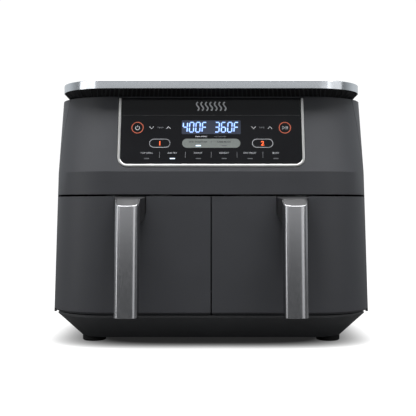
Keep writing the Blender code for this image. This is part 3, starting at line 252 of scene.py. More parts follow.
def moulded(name, colour, roughness, grain_mm=0.5, depth_mm=0.015, ior=1.5):
    """Moulded plastic with an eroded grain. The grain's size and depth are in millimetres."""
    made, tree, where = start_material(name)
    fine, coarse = 1.0 / (grain_mm * MM), 1.0 / (PATCH_MM * MM)
    grain = add(tree, "ShaderNodeTexNoise", [("Vector", where), ("Scale", fine), ("Detail", 2.0)])
    patches = add(tree, "ShaderNodeTexNoise", [("Vector", where), ("Scale", coarse), ("Detail", 3.0)])
    patches = patches.outputs["Fac"]
    depth = [("Strength", 0.3), ("Distance", depth_mm * MM)]
    bump = add(tree, "ShaderNodeBump", [("Height", grain.outputs["Fac"]), *depth])
    shader = principled(tree, [("Base Color", tinted(tree, patches, colour, 0.04)), ("IOR", ior)])
    tree.links.new(varied(tree, patches, roughness - 0.03, roughness + 0.03), shader.inputs["Roughness"])
    tree.links.new(bump.outputs["Normal"], shader.inputs["Normal"])
    return made


# Filled ABS gives the shell its satin charcoal. The lid, the rear cover, the grips' cores and the base
# are the same plastic in black. The base is a little drier, and its black is painted a shade lighter:
# this is painted bounce light from a white table, because the table here lights nothing.
charcoal_abs = moulded("charcoal_satin_abs", "#37383c", 0.50)
black_abs = moulded("black_satin_abs", "#1f1f21", 0.45)
base_abs_painted_bounce = moulded("black_semi_matt_abs_painted_bounce", "#48494b", 0.5)
# Black plastic for the louvre ring, made near-black to paint the shade inside the vent gaps between the
# vanes.
vent_black_and_painted_shade = moulded("black_matt_abs_painted_vent_shade", "#070708", 0.6)
vane_abs = moulded("dark_grey_abs", "#2c2d30", 0.4)
# Glass-filled nylon takes the heat of the inner parts and has a rougher, drier look.
black_nylon = moulded("black_glass_filled_nylon", "#101011", 0.55, grain_mm=0.8)
grey_abs = moulded("grey_satin_abs", "#29292b", 0.42)
soft_rubber = moulded("black_silicone_rubber", "#151515", 0.75, grain_mm=1.2, ior=1.41)
solder_mask = moulded("green_solder_mask", "#14502c", 0.35, grain_mm=2.0)
print("plastics", sum(m.name.endswith(("abs", "nylon", "rubber", "mask")) for m in bpy.data.materials))

# %% [markdown]
# ## Steel
# Brushed stainless steel is pulled under an abrasive belt, so it carries long parallel scratches.
# A noise squeezed along one axis draws them, both as a faint bump and as a change of gloss. Pressed
# and plated metals have no direction, and their gloss only wanders a little from place to place.

# %% Metals
LINE_SQUEEZE = 0.004  # a scratch's width as a share of its length


def brushed_steel(name, colour, along, roughness, line_mm=0.5, depth_mm=0.0015):
    """Stainless steel brushed along X (0), Y (1) or Z (2)."""
    made, tree, where = start_material(name)
    squeeze = [1.0, 1.0, 1.0]
    squeeze[along] = LINE_SQUEEZE
    placed = add(tree, "ShaderNodeMapping", [("Vector", where), ("Scale", squeeze)]).outputs["Vector"]
    fine = 1.0 / (line_mm * MM)
    lines = add(tree, "ShaderNodeTexNoise", [("Vector", placed), ("Scale", fine), ("Detail", 3.0)])
    lines = lines.outputs["Fac"]
    bump = add(tree, "ShaderNodeBump", [("Height", lines), ("Strength", 0.25), ("Distance", depth_mm * MM)])
    shader = principled(tree, [("Base Color", tinted(tree, lines, colour, 0.06)), ("Metallic", 1.0)])
    tree.links.new(varied(tree, lines, roughness - 0.03, roughness + 0.04), shader.inputs["Roughness"])
    tree.links.new(bump.outputs["Normal"], shader.inputs["Normal"])
    return made


def plain_metal(name, colour, roughness, blotch_mm=30.0, change=0.1):
    """Rolled, pressed or plated metal."""
    made, tree, where = start_material(name)
    coarse = 1.0 / (blotch_mm * MM)
    blotch = add(tree, "ShaderNodeTexNoise", [("Vector", where), ("Scale", coarse), ("Detail", 5.0)])
    blotch = blotch.outputs["Fac"]
    shader = principled(tree, [("Base Color", tinted(tree, blotch, colour, 0.06)), ("Metallic", 1.0)])
    gloss = varied(tree, blotch, max(0.02, roughness - change / 2), roughness + change / 2)
    tree.links.new(gloss, shader.inputs["Roughness"])
    return made


band_steel = brushed_steel("stainless_brushed_along_the_band", "#d3d7dc", 0, 0.16)
grip_steel = brushed_steel("stainless_brushed_upright", "#b0b0b3", 2, 0.20)
chrome = plain_metal("satin_chrome_plating", "#f6f5f3", 0.30, change=0.04)
liner_steel = plain_metal("rolled_aluminised_steel", "#a8aaac", 0.38)
screw_zinc = plain_metal("black_zinc_plating", "#2a2a2c", 0.35, blotch_mm=4.0)
sheath_metal = plain_metal("oxidised_heater_sheath", "#4b4744", 0.5, blotch_mm=12.0, change=0.2)
print("metals", [m.name for m in (band_steel, grip_steel, chrome, liner_steel, screw_zinc, sheath_metal)])

# %% [markdown]
# ## Coating, lens and ink
# Baskets wear a dark ceramic coating sprayed on pressed steel: smooth, but slightly pebbled like an
# egg shell, with fine flecks. The lens is clear acrylic printed black behind, which looks deep black
# with a hard, clean reflection. Marks on it are screen-printed ink, or windows in the print that a
# lamp shines through, so the same material has a glow that can be turned up.

# %% Coating, lens and ink
HAZE_MM = 40.0  # size of the patches that fingertips leave
SQUEEGEE_MM = 2.5  # size of the uneven spots in printed ink
FLECK_EDGE = (0.08, 0.18)  # where a fleck's blurred edge starts and ends, as shares of the flecks' spacing


def sprayed(name, colour, fleck_colour, roughness, pebble_mm=1.6, fleck_mm=1.1):
    """A sprayed and baked coating."""
    made, tree, where = start_material(name)
    coarse = 1.0 / (pebble_mm * MM)
    peel = add(tree, "ShaderNodeTexNoise", [("Vector", where), ("Scale", coarse), ("Detail", 1.0)])
    specks = add(tree, "ShaderNodeTexVoronoi", [("Vector", where), ("Scale", 1.0 / (fleck_mm * MM))])
    edge = [("From Min", FLECK_EDGE[0]), ("From Max", FLECK_EDGE[1])]
    fleck = add(tree, "ShaderNodeMapRange", [("Value", specks.outputs["Distance"]), *edge])
    mixed = add(tree, "ShaderNodeMix", [("Factor", fleck.outputs["Result"])], data_type="RGBA")
    mixed.inputs["A"].default_value = (*linear(fleck_colour), 1.0)
    mixed.inputs["B"].default_value = (*linear(colour), 1.0)
    depth = [("Strength", 0.2), ("Distance", 0.1 * MM)]
    bump = add(tree, "ShaderNodeBump", [("Height", peel.outputs["Fac"]), *depth])
    shader = principled(tree, [("Base Color", mixed.outputs["Result"]), ("Roughness", roughness)])
    tree.links.new(bump.outputs["Normal"], shader.inputs["Normal"])
    return made


def printed_acrylic(name, colour):
    # Acrylic's IOR, a low roughness, and a faint haze left by fingertips.
    made, tree, where = start_material(name)
    coarse = 1.0 / (HAZE_MM * MM)
    haze = add(tree, "ShaderNodeTexNoise", [("Vector", where), ("Scale", coarse), ("Detail", 4.0)])
    haze = haze.outputs["Fac"]
    shader = principled(tree, [("Base Color", tinted(tree, haze, colour, 0.15)), ("IOR", 1.49)])
    tree.links.new(varied(tree, haze, 0.10, 0.18), shader.inputs["Roughness"])
    return made


def ink(name, colour, glow=0.0, glow_colour=None):
    # Screen-printed ink: matt, with the uneven density that a squeegee leaves.
    made, tree, where = start_material(name)
    fine = 1.0 / (SQUEEGEE_MM * MM)
    density = add(tree, "ShaderNodeTexNoise", [("Vector", where), ("Scale", fine), ("Detail", 2.0)])
    density = density.outputs["Fac"]
    shader = principled(tree, [("Base Color", tinted(tree, density, colour, 0.08)), ("Roughness", 0.45)])
    if glow:
        lit = tinted(tree, density, glow_colour or colour, 0.1)
        tree.links.new(lit, shader.inputs["Emission Color"])
        shader.inputs["Emission Strength"].default_value = glow
    return made


ceramic = sprayed("dark_ceramic_coating", "#262628", "#4c4c4f", 0.32)
lens_acrylic = printed_acrylic("back_printed_acrylic", "#0e0e11")
white_ink = ink("white_ink", "#c8cace")
word_ink = ink("light_grey_ink", "#a2a4a8")
dim_ink = ink("dim_grey_ink", "#77797d")
gap_ink = ink("black_ink", "#020203")
orange_ink = ink("orange_ink", "#b4573c", 0.25)
plate_ink = ink("sage_grey_ink", "#6d7370")
dark_ink = ink("dark_ink", "#26282a")
unlit_ink = ink("unlit_lamp", "#4f5154")
window_glow = ink("display_window", "#10131c", 0.10, "#46639a")
digit_halo = ink("display_halo", "#2c4a86", 0.60, "#3f76d8")
digit_glow = ink("display_digit", "#b8d2ff", 0.75, "#a8ccff")
orange_glow = ink("lit_orange_numeral", "#ff6a30", 1.1, "#ff5a28")
lamp_glow = ink("lit_white_lamp", "#e8f4ff", 0.85, "#b4d8ff")
print("finishes made", len(bpy.data.materials))

# %% [markdown]
# ## Dressing a solid
# A solid arrives as loose triangles with knife-sharp edges. Nothing real has those: a sharp edge
# catches no light. So each visible solid gets a finished copy. The copy is welded, its flat areas are
# joined into whole faces, its hard edges are bevelled, and it is shaded smooth.

# %% Finished copies of the solids
BODY_OF = {node: body for body, group in frame["record"]["behaviour"]["bodies"].items() for node in group}
SHARP = 32.0  # degrees: an edge that turns by more is drawn sharp
HARD = 28.0  # degrees: an edge that turns by more is bevelled
FLAT = 0.6  # degrees: faces that turn by less are one flat face
WELD = 0.02 * MM  # points nearer than this are one point


def keep(name, bm, material, body, replaced=(), sharp=SHARP):
    """Makes an object of a bmesh, smooth where it is round, and lets it ride on a body."""
    mesh = bpy.data.meshes.new(name)
    bm.to_mesh(mesh)
    bm.free()
    mesh.shade_smooth()
    mesh.set_sharp_from_angle(angle=math.radians(sharp))
    mesh.materials.append(material)
    made = bpy.data.objects.new(name, mesh)
    scene.collection.objects.link(made)
    made.modifiers.new("even_shading", "WEIGHTED_NORMAL").keep_sharp = True
    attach(made, body)
    if replaced:
        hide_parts(*replaced)
    return made


def welded(node):
    """A welded copy of a solid's mesh, with its flat areas as whole faces."""
    bm = bmesh.new()
    bm.from_mesh(nodes[node].data)
    bmesh.ops.remove_doubles(bm, verts=bm.verts, dist=WELD)
    limit = math.radians(FLAT)
    bmesh.ops.dissolve_limit(bm, angle_limit=limit, verts=bm.verts, edges=bm.edges, delimit={"NORMAL"})
    return bm


def rounded(bm, geom, offset, steps, affect="EDGES"):
    """Bevels edges, or with affect="VERTICES" the corners of a flat face, to a round profile."""
    bmesh.ops.bevel(
        bm,
        geom=geom,
        offset=offset,
        segments=steps,
        profile=0.5,
        affect=affect,
        clamp_overlap=True,
        material=-1,
    )


def dress(node, material, radius_mm=0.5, steps=2, sharp=SHARP):
    """Replaces a solid with its finished copy."""
    bm = welded(node)
    shared = [e for e in bm.edges if len(e.link_faces) == 2]
    hard = [e for e in shared if e.calc_face_angle(0.0) > math.radians(HARD)]
    rounded(bm, hard, radius_mm * MM, steps)
    return keep(f"{node}_finished", bm, material, BODY_OF[node], (node,), sharp)


RIDGE_SHARP = 11.0  # degrees: the ridge turns by more than this, a facet of a round corner by less
RIDGED = ("front_fascia", "side_panel_left", "side_panel_right")
shell = [dress(node, charcoal_abs, 0.6, 3, RIDGE_SHARP) for node in RIDGED]
shell += [dress(f"drawer_front_{z}", charcoal_abs, 1.2, 3) for z in (1, 2)]
# The base pan's lighter black is painted bounce light.
shell += [dress("rear_cover", black_abs, 0.5), dress("base_pan", base_abs_painted_bounce, 1.0)]
print("shell", [(o.name, len(o.data.polygons)) for o in shell])

# %% [markdown]
# ## The rest of the outside
# The lid's band is brushed along its length and the grips are brushed upright, as each was pulled
# through the belt. A pressed or cut edge gets a smaller radius than a moulded one. The drawers' inner
# panels and the oven's liners are dressed here too, because they show when a drawer is out.

# %% Lid, bezel, handles, liners, feet
dress("lid_trim", band_steel, 0.35)
dress("lid_panel", black_abs, 0.3)
dress("panel_bezel", chrome, 0.7, steps=3)
for z in (1, 2):
    dress(f"handle_cover_{z}", grip_steel, 0.4)
    dress(f"handle_cap_{z}", grey_abs, 0.2)
    dress(f"handle_core_{z}", black_abs, 0.6)
    dress(f"drawer_panel_{z}", black_nylon, 0.5)
    dress(f"cavity_liner_{z}", liner_steel, 0.4)
for node in nodes:
    if node.startswith(("foot_", "bumper_")) or node == "cord_gland":
        dress(node, soft_rubber, 0.4)

# %% [markdown]
# ## Inner solids
# The fans, motors, boards and heating parts sit deep inside, the louvre ring is behind its vanes, and
# the lens is one flat block in a frame. None of them shows an edge, so they stay the solids they are
# and only get a finish.

# %% Finishes for plain solids
def finish_node(node, material):
    """Gives a solid that stays as it is its finish."""
    mesh = nodes[node].data
    mesh.materials.clear()
    mesh.materials.append(material)


INNER = {
    "heat_dome": liner_steel,
    "fan_guard": liner_steel,
    "heating_element": sheath_metal,
    "convection_fan": liner_steel,
    "cooling_fan": black_nylon,
    "motor_shaft": liner_steel,
    "motor": liner_steel,
    "temperature_probe": liner_steel,
    "drawer_switch": black_nylon,
}
for stem, material in INNER.items():
    for z in (1, 2):
        finish_node(f"{stem}_{z}", material)
finish_node("motor_deck", liner_steel)
finish_node("control_board", solder_mask)
finish_node("power_board", solder_mask)
# The ring's near-black is black plastic plus painted vent shade.
finish_node("louvre_ring", vent_black_and_painted_shade)
finish_node("panel_lens", lens_acrylic)
print("inner solids with a finish", 2 * len(INNER) + 3)

# %% [markdown]
# ## Louvre vanes
# Under the lid, a black ring flares out from the housing, and cooling air leaves between its vanes.
# Between the vanes the ring is near-black: black plastic plus the painted shade of the vent gaps.
# Each vane is a thin upright fin. The ring's own outer wall says where they go: its lower and upper
# edges are walked together, and a fin is set across them at every step of the pitch.

# %% Louvre vanes
VANE_PITCH = 5.2 * MM
VANE_WIDTH = 1.5 * MM
VANE_DEPTH = 1.6 * MM
VANE_SUNK = 0.2 * MM  # how far a vane's middle lies inside the ring's wall
VANE_REACH = 0.96  # share of the wall's height that a vane takes


def wall_edges(node):
    """The outer wall of a flared ring, as pairs of a lower and an upper point in order round it."""
    bm = welded(node)
    top = max(v.co.z for v in bm.verts) - 0.1 * MM
    pairs = []
    for edge in bm.edges:
        low, high = sorted(edge.verts, key=lambda v: v.co.z)
        outward = high.co.xy.length > low.co.xy.length
        if high.co.z > top and low.co.z < top and outward:
            pairs.append((low.co.copy(), high.co.copy()))
    bm.free()
    reach = {}
    for low, high in pairs:
        key = round(math.atan2(high.y, high.x), 4)
        if key not in reach or high.xy.length > reach[key][1].xy.length:
            reach[key] = (low, high)
    return [reach[key] for key in sorted(reach)]


def vanes():
    wall = wall_edges("louvre_ring")
    bm = bmesh.new()
    carried = VANE_PITCH / 2
    for (low_a, high_a), (low_b, high_b) in zip(wall, wall[1:] + wall[:1]):
        run = (high_b - high_a).length
        while carried < run:
            share = carried / run
            low, high = low_a.lerp(low_b, share), high_a.lerp(high_b, share)
            along = (high_b - high_a).normalized()
            up = (high - low).normalized()
            out = along.cross(up).normalized()
            middle = (low + high) / 2 - out * VANE_SUNK
            tall = (high - low).length * VANE_REACH
            basis = Matrix((along * VANE_WIDTH, out * VANE_DEPTH, up * tall)).transposed()
            bmesh.ops.create_cube(bm, size=1.0, matrix=Matrix.Translation(middle) @ basis.to_4x4())
            carried += VANE_PITCH
        carried -= run
    bmesh.ops.recalc_face_normals(bm, faces=bm.faces)
    return keep("louvre_vanes", bm, vane_abs, "housing")


print("vanes", len(vanes().data.polygons) // 6)

# %% [markdown]
# ## Marks on the lens
# Everything on the lens is flat: plates, strokes and letters. A rounded plate is a square whose
# corners are bevelled. A stroke is a curve with a round bevel, squashed flat, so its ends are round
# as a pen's are. Letters come from a text object. Each is made a mesh in the lens's own frame, in
# millimetres, and then one matrix lays the whole group on the lens.

# %% Flat marks
STROKE_RISE = 0.05  # how high a squashed stroke stands, in millimetres
LETTER_DEPTH = 0.02  # about how far a letter's ink goes to each side of its middle
LETTER_LIFT = 0.03  # how far that middle lies above what it is printed on


def face_frame(node, looks):
    """A frame on a solid's largest face that looks this way: Z out of it, X level, origin mid-edge below."""
    bm = welded(node)
    face = max((f for f in bm.faces if looks(f.normal)), key=lambda f: f.calc_area())
    out = face.normal.normalized()
    across = Vector((0, 0, 1)).cross(out).normalized()
    up = out.cross(across)
    points = [v.co for v in face.verts]
    middle = (min(p.dot(across) for p in points) + max(p.dot(across) for p in points)) / 2
    low = min(p.dot(up) for p in points)
    origin = across * middle + up * low + out * points[0].dot(out)
    bm.free()
    return Matrix.Translation(origin) @ Matrix((across, up, out)).transposed().to_4x4() @ Matrix.Scale(MM, 4)


def mesh_of(data):
    """The mesh of a text or a curve, with the data block removed."""
    holder = bpy.data.objects.new("holder", data)
    mesh = bpy.data.meshes.new_from_object(holder)
    bpy.data.objects.remove(holder)
    bpy.data.curves.remove(data)
    return mesh


def take(bm, mesh, change):
    """Adds a mesh to a bmesh, moved by a matrix."""
    mesh.transform(change)
    bm.from_mesh(mesh)
    bpy.data.meshes.remove(mesh)


def stroke(bm, points, width, closed=False, rise=0.02):
    """A flat line with round ends through points, all in millimetres."""
    data = bpy.data.curves.new("stroke", "CURVE")
    data.dimensions = "3D"
    data.bevel_depth = width / 2
    data.bevel_resolution = 1
    data.use_fill_caps = not closed
    line = data.splines.new("POLY")
    line.points.add(len(points) - 1)
    for point, (x, y) in zip(line.points, points):
        point.co = (x, y, 0.0, 1.0)
    line.use_cyclic_u = closed
    flat = Matrix.Diagonal((1.0, 1.0, STROKE_RISE / width, 1.0))
    take(bm, mesh_of(data), Matrix.Translation((0, 0, rise + STROKE_RISE / 2)) @ flat)


def arc(x, y, radius, start, turn, steps=24):
    """Points on an arc. Angles are in degrees."""
    angles = [math.radians(start + turn * i / steps) for i in range(steps + 1)]
    return [(x + radius * math.cos(a), y + radius * math.sin(a)) for a in angles]


def pill(x, y, width, height):
    """The outline of a bar with round ends."""
    reach, radius = (width - height) / 2, height / 2
    return arc(x + reach, y, radius, -90, 180, 10) + arc(x - reach, y, radius, 90, 180, 10)


def points_of(geom):
    """The points among what an operator made."""
    return [g for g in geom if isinstance(g, bmesh.types.BMVert)]


def round_cornered(width, height, radius, steps):
    """A flat face with round corners round the origin, as a bmesh."""
    bm = bmesh.new()
    bmesh.ops.create_grid(bm, x_segments=1, y_segments=1, size=0.5)
    bmesh.ops.scale(bm, vec=(width, height, 1.0), verts=bm.verts)
    rounded(bm, bm.verts, radius, steps, "VERTICES")
    return bm


def thicken(bm, thick):
    """Raises a flat face into a plate."""
    raised = bmesh.ops.extrude_face_region(bm, geom=bm.faces[:])["geom"]
    bmesh.ops.translate(bm, vec=(0, 0, thick), verts=points_of(raised))
    bmesh.ops.recalc_face_normals(bm, faces=bm.faces)


def plate(bm, x, y, width, height, radius, rise=0.02, thick=0.05):
    """Adds a flat plate with round corners, centred on a point."""
    part = round_cornered(width, height, radius, 8)
    thicken(part, thick)
    mesh = bpy.data.meshes.new("plate")
    part.to_mesh(mesh)
    part.free()
    take(bm, mesh, Matrix.Translation((x, y, rise)))


def words(bm, text, x, y, height, rise=0.02, stretch=1.0, weight=0.0):
    """Letters of this height, centred on a point. Weight thickens them by that share of the type's size."""
    data = bpy.data.curves.new("words", "FONT")
    data.body = text
    data.offset = weight
    data.extrude = LETTER_DEPTH / height
    data.resolution_u = 3
    mesh = mesh_of(data)
    xs, ys = [v.co.x for v in mesh.vertices], [v.co.y for v in mesh.vertices]
    size = height / (max(ys) - min(ys))
    centre = Matrix.Translation((-(max(xs) + min(xs)) / 2, -(max(ys) + min(ys)) / 2, 0))
    scale = Matrix.Diagonal((size * stretch, size, size, 1.0))
    take(bm, mesh, Matrix.Translation((x, y, rise + LETTER_LIFT)) @ scale @ centre)


def lay(name, bm, place, material, body):
    """Lays a finished group of marks on its face."""
    bmesh.ops.transform(bm, matrix=place, verts=bm.verts)
    return keep(name, bm, material, body)


on_lens = face_frame("panel_lens", lambda n: n.y < -0.5)
print("lens tilt in degrees", round(math.degrees(math.asin(on_lens.col[2].z / MM)), 1))

# %% [markdown]
# ## Display
# Each character is seven bars of a light pipe behind a dark window. A bar is lit or not, so a small
# table of lit bars per character is all the font there is. A wider, darker blue copy of each bar
# under the bright one gives the bloom that such a display has.

# %% Display
LIT_BARS = {"0": "abcdef", "3": "abcdg", "4": "bcfg", "6": "acdefg", "F": "aefg"}
READOUTS = (("400F", -31.0), ("360F", 7.1))  # what each side shows, and where its first character stands
WINDOW_WIDTH, WINDOW_HEIGHT = 70.3, 17.4
DIGIT_WIDTH, DIGIT_HEIGHT, DIGIT_PITCH = 4.9, 12.2, 7.6
DIGIT_MIDDLE = 45.9
DIGIT_SLANT = 0.06
BAR_GAP = 0.55  # how far a bar's end stays from the corner
BAR_WIDTH, HALO_WIDTH = 1.05, 2.3


def bar_ends(name, x):
    """The two ends of one bar of a character that stands at x."""
    half, tall, gap = DIGIT_WIDTH / 2, DIGIT_HEIGHT / 2, BAR_GAP
    ends = {
        "a": ((-half + gap, tall), (half - gap, tall)),
        "g": ((-half + gap, 0), (half - gap, 0)),
        "d": ((-half + gap, -tall), (half - gap, -tall)),
        "f": ((-half, gap), (-half, tall - gap)),
        "b": ((half, gap), (half, tall - gap)),
        "e": ((-half, -tall + gap), (-half, -gap)),
        "c": ((half, -tall + gap), (half, -gap)),
    }[name]
    return [(x + px + DIGIT_SLANT * py, DIGIT_MIDDLE + py) for px, py in ends]


def display():
    window, halo, digits = bmesh.new(), bmesh.new(), bmesh.new()
    plate(window, 0, DIGIT_MIDDLE, WINDOW_WIDTH, WINDOW_HEIGHT, 1.2, rise=0.01, thick=0.02)
    for text, start in READOUTS:
        for i, character in enumerate(text):
            for name in LIT_BARS[character]:
                ends = bar_ends(name, start + i * DIGIT_PITCH)
                stroke(halo, ends, HALO_WIDTH, rise=0.03)
                stroke(digits, ends, BAR_WIDTH, rise=0.09)
    lay("display_window", window, on_lens, window_glow, "housing")
    lay("display_halo", halo, on_lens, digit_halo, "housing")
    return lay("display_digits", digits, on_lens, digit_glow, "housing")


print("display bar faces", len(display().data.polygons))

# %% [markdown]
# ## Touch keys
# The keys have no travel: a finger is sensed through the lens, and only print shows where to press.
# Orange rings mark power and start, chevrons step the temperature and the time, and an outlined key
# picks each zone.

# %% Touch keys
KEY_ROW = 45.3
KEY_X = 88.0
RING_RADIUS = 6.8
RING_LINE, MARK_LINE, PLAY_LINE = 0.85, 0.55, 0.5
CHEVRONS = ((-71.1, False), (-51.1, True), (50.6, False), (70.2, True))  # where each is, and if it points up
CHEVRON_HALF, CHEVRON_RISE, CHEVRON_LINE = 2.5, 1.35, 0.75
KEY_WORDS = (("TEMP", -60.9), ("TIME", 60.4))
ZONE_ROW = 25.7
ZONE_KEY_X = 61.1
ZONE_KEY_WIDTH, ZONE_KEY_HEIGHT, ZONE_KEY_LINE = 24.4, 10.3, 0.65


def chevron(bm, x, up):
    rise = CHEVRON_RISE if up else -CHEVRON_RISE
    left, right = x - CHEVRON_HALF, x + CHEVRON_HALF
    stroke(bm, [(left, KEY_ROW - rise), (x, KEY_ROW + rise), (right, KEY_ROW - rise)], CHEVRON_LINE)


def power_mark(bm, x):
    """An open ring with an upright stroke in its gap."""
    stroke(bm, arc(x, KEY_ROW - 0.3, 2.4, 130, 280), MARK_LINE)
    stroke(bm, [(x, KEY_ROW + 0.4), (x, KEY_ROW + 2.8)], MARK_LINE)


def play_pause_mark(bm, x):
    """A triangle with two upright strokes beside it."""
    triangle = [(x - 3.0, KEY_ROW - 2.0), (x - 3.0, KEY_ROW + 2.0), (x + 0.2, KEY_ROW)]
    stroke(bm, triangle, PLAY_LINE, closed=True)
    for dx in (1.5, 3.1):
        stroke(bm, [(x + dx, KEY_ROW - 1.9), (x + dx, KEY_ROW + 1.9)], MARK_LINE)


def touch_keys():
    rings, marks, small = bmesh.new(), bmesh.new(), bmesh.new()
    for side in (-1, 1):
        ring = arc(side * KEY_X, KEY_ROW, RING_RADIUS, 0, 360, 40)[:-1]
        stroke(rings, ring, RING_LINE, closed=True)
    power_mark(marks, -KEY_X)
    play_pause_mark(marks, KEY_X)
    for x, up in CHEVRONS:
        chevron(marks, x, up)
    for text, x in KEY_WORDS:
        words(small, text, x, KEY_ROW + 0.2, 1.7, stretch=1.25)
    lay("key_rings", rings, on_lens, orange_ink, "housing")
    lay("key_words", small, on_lens, dim_ink, "housing")
    return lay("key_marks", marks, on_lens, white_ink, "housing")


def zone_keys():
    outlines, numerals = bmesh.new(), bmesh.new()
    for number, side in (("1", -1), ("2", 1)):
        outline = pill(side * ZONE_KEY_X, ZONE_ROW, ZONE_KEY_WIDTH, ZONE_KEY_HEIGHT)
        stroke(outlines, outline, ZONE_KEY_LINE, closed=True)
        words(numerals, number, side * ZONE_KEY_X, ZONE_ROW, 5.4, stretch=1.15, weight=0.008)
    lay("zone_outlines", outlines, on_lens, word_ink, "housing")
    return lay("zone_numerals", numerals, on_lens, orange_glow, "housing")


print("key mark faces", len(touch_keys().data.polygons), "numeral faces", len(zone_keys().data.polygons))

# %% [markdown]
# ## Sync plate and programme row
# The two keys that tie the zones together share one printed plate, and two small captions stand above
# it. Below is the row of cooking programmes: a word, a lamp under it, and thin rules between. The
# lamps of one programme and of one of the two keys are lit.

# %% Sync plate and programme row
PROGRAMMES = ("TOP GRILL", "AIR FRY", "ROAST", "REHEAT", "DRY FRUIT", "BAKE")
PROGRAMME_PITCH = 30.6
WORD_ROW, LAMP_ROW, RULE_ROW = 13.6, 6.6, 11.2
LIT_PROGRAMME = "AIR FRY"
LAMP_WIDTH = 6.2
RULE_LINE, RULE_HALF = 0.4, 3.6
SYNC_WIDTH, SYNC_HEIGHT = 69.2, 11.3
SYNC_X = 15.3  # how far each key's word and lamp are from the middle
SYNC_LAMP_ROW = ZONE_ROW - 3.0
CAPTION_ROW = ZONE_ROW + 8.4


def sync_plate():
    base, letters = bmesh.new(), bmesh.new()
    plate(base, 0, ZONE_ROW, SYNC_WIDTH, SYNC_HEIGHT, 5.6, thick=0.04)
    for text, x in (("END TOGETHER", -SYNC_X), ("SAME MODE", SYNC_X)):
        words(letters, text, x, ZONE_ROW + 1.7, 1.8, rise=0.05, stretch=1.2, weight=0.02)
    stroke(letters, [(0, ZONE_ROW + 0.4), (0, ZONE_ROW + 3.0)], RULE_LINE, rise=0.05)
    lay("sync_plate", base, on_lens, plate_ink, "housing")
    bright, dim = bmesh.new(), bmesh.new()
    words(bright, "TWO ZONES", -12.0, CAPTION_ROW, 1.3, stretch=1.4, weight=0.03)
    words(dim, "HOT AIR OVEN", 10.5, CAPTION_ROW, 1.2, stretch=1.2)
    lay("zone_caption", bright, on_lens, white_ink, "housing")
    lay("oven_caption", dim, on_lens, dim_ink, "housing")
    return lay("sync_words", letters, on_lens, dark_ink, "housing")


def programme_row():
    letters, rules, lit, unlit = (bmesh.new() for _ in range(4))
    for i, text in enumerate(PROGRAMMES):
        x = (i - (len(PROGRAMMES) - 1) / 2) * PROGRAMME_PITCH
        words(letters, text, x, WORD_ROW, 1.9, stretch=1.2, weight=0.015)
        plate(lit if text == LIT_PROGRAMME else unlit, x, LAMP_ROW, LAMP_WIDTH, 1.25, 0.6, rise=0.05)
    for i in range(1, len(PROGRAMMES)):
        x = (i - len(PROGRAMMES) / 2) * PROGRAMME_PITCH
        stroke(rules, [(x, RULE_ROW - RULE_HALF), (x, RULE_ROW + RULE_HALF)], RULE_LINE)
    plate(lit, -SYNC_X, SYNC_LAMP_ROW, LAMP_WIDTH, 1.35, 0.6, rise=0.07)
    plate(unlit, SYNC_X, SYNC_LAMP_ROW, LAMP_WIDTH, 1.0, 0.45, rise=0.07)
    lay("programme_words", letters, on_lens, word_ink, "housing")
    lay("programme_rules", rules, on_lens, dim_ink, "housing")
    lay("unlit_lamps", unlit, on_lens, unlit_ink, "housing")
    return lay("lit_lamps", lit, on_lens, lamp_glow, "housing")


print("sync faces", len(sync_plate().data.polygons), "lit lamp faces", len(programme_row().data.polygons))

# %% [markdown]
# ## Top strip of the lens
# A thin printed line parts the lens into a strip above and the field with the keys below. A plain
# mark of seven rising waves of hot air sits in the strip. Each wave is one stroke along a sine.

# %% Top strip of the lens
STRIP_LOW = 61.0
STRIP_EDGE = 0.6  # how far the line's ends stay inside the lens
WAVES = 7
WAVE_PITCH, WAVE_SWAY, WAVE_LINE = 5.4, 1.5, 1.6
WAVE_LOW = STRIP_LOW + 6.0
WAVE_STEPS, WAVE_STEP = 16, 0.7  # a wave is one turn of a sine in this many steps of this height


def top_strip():
    gap, waves = bmesh.new(), bmesh.new()
    low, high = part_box("panel_lens")
    half_width = (high.x - low.x) / 2 / MM - STRIP_EDGE
    stroke(gap, [(-half_width, STRIP_LOW), (half_width, STRIP_LOW)], 0.7, rise=0.0)
    sway = [WAVE_SWAY * math.sin(math.tau * i / WAVE_STEPS) for i in range(WAVE_STEPS + 1)]
    for number in range(WAVES):
        x = (number - (WAVES - 1) / 2) * WAVE_PITCH
        points = [(x + dx, WAVE_LOW + i * WAVE_STEP) for i, dx in enumerate(sway)]
        stroke(waves, points, WAVE_LINE)
    lay("lens_gap", gap, on_lens, gap_ink, "housing")
    return lay("hot_air_mark", waves, on_lens, white_ink, "housing")


print("wave faces", len(top_strip().data.polygons))

# %% [markdown]
# ## Handle numerals
# Each cap carries the number of its zone in dark print, so that a drawer that was washed goes back to
# its own side. The cap's top is level, so the same frame and letters serve here.

# %% Handle numerals
NUMERAL_MIDDLE, NUMERAL_HEIGHT = 5.2, 5.0
for z in (1, 2):
    numeral = bmesh.new()
    words(numeral, str(z), 0, NUMERAL_MIDDLE, NUMERAL_HEIGHT, rise=0.0)
    on_cap = face_frame(f"handle_cap_{z}", lambda n: n.z > 0.5)
    lay(f"handle_numeral_{z}", numeral, on_cap, dark_ink, f"drawer_{z}")
    print("numeral", z)

# %% [markdown]
# ## Baskets
# A basket is deep-drawn from one sheet: the corners are round, the walls lean out a little so that
# the punch comes free, the floor's edge is a soft curve, and the rim is turned outwards to slide on
# the oven's ledges. The front wall stays upright and has no rim, because the drawer's panel is there.
# It starts as a rectangle whose corners are bevelled; its edge is extruded up the wall and out over
# the rim, the floor's edge is bevelled, and Solidify's bmesh operator gives it its sheet thickness.

# %% Baskets
RIM = 6.0 * MM
DRAFT = 4.0 * MM
BASKET_CORNER = 18.0 * MM
BASKET_SHEET = 1.6 * MM
FLOOR_CURVE = 9.0 * MM
CORNER_STEPS = 9


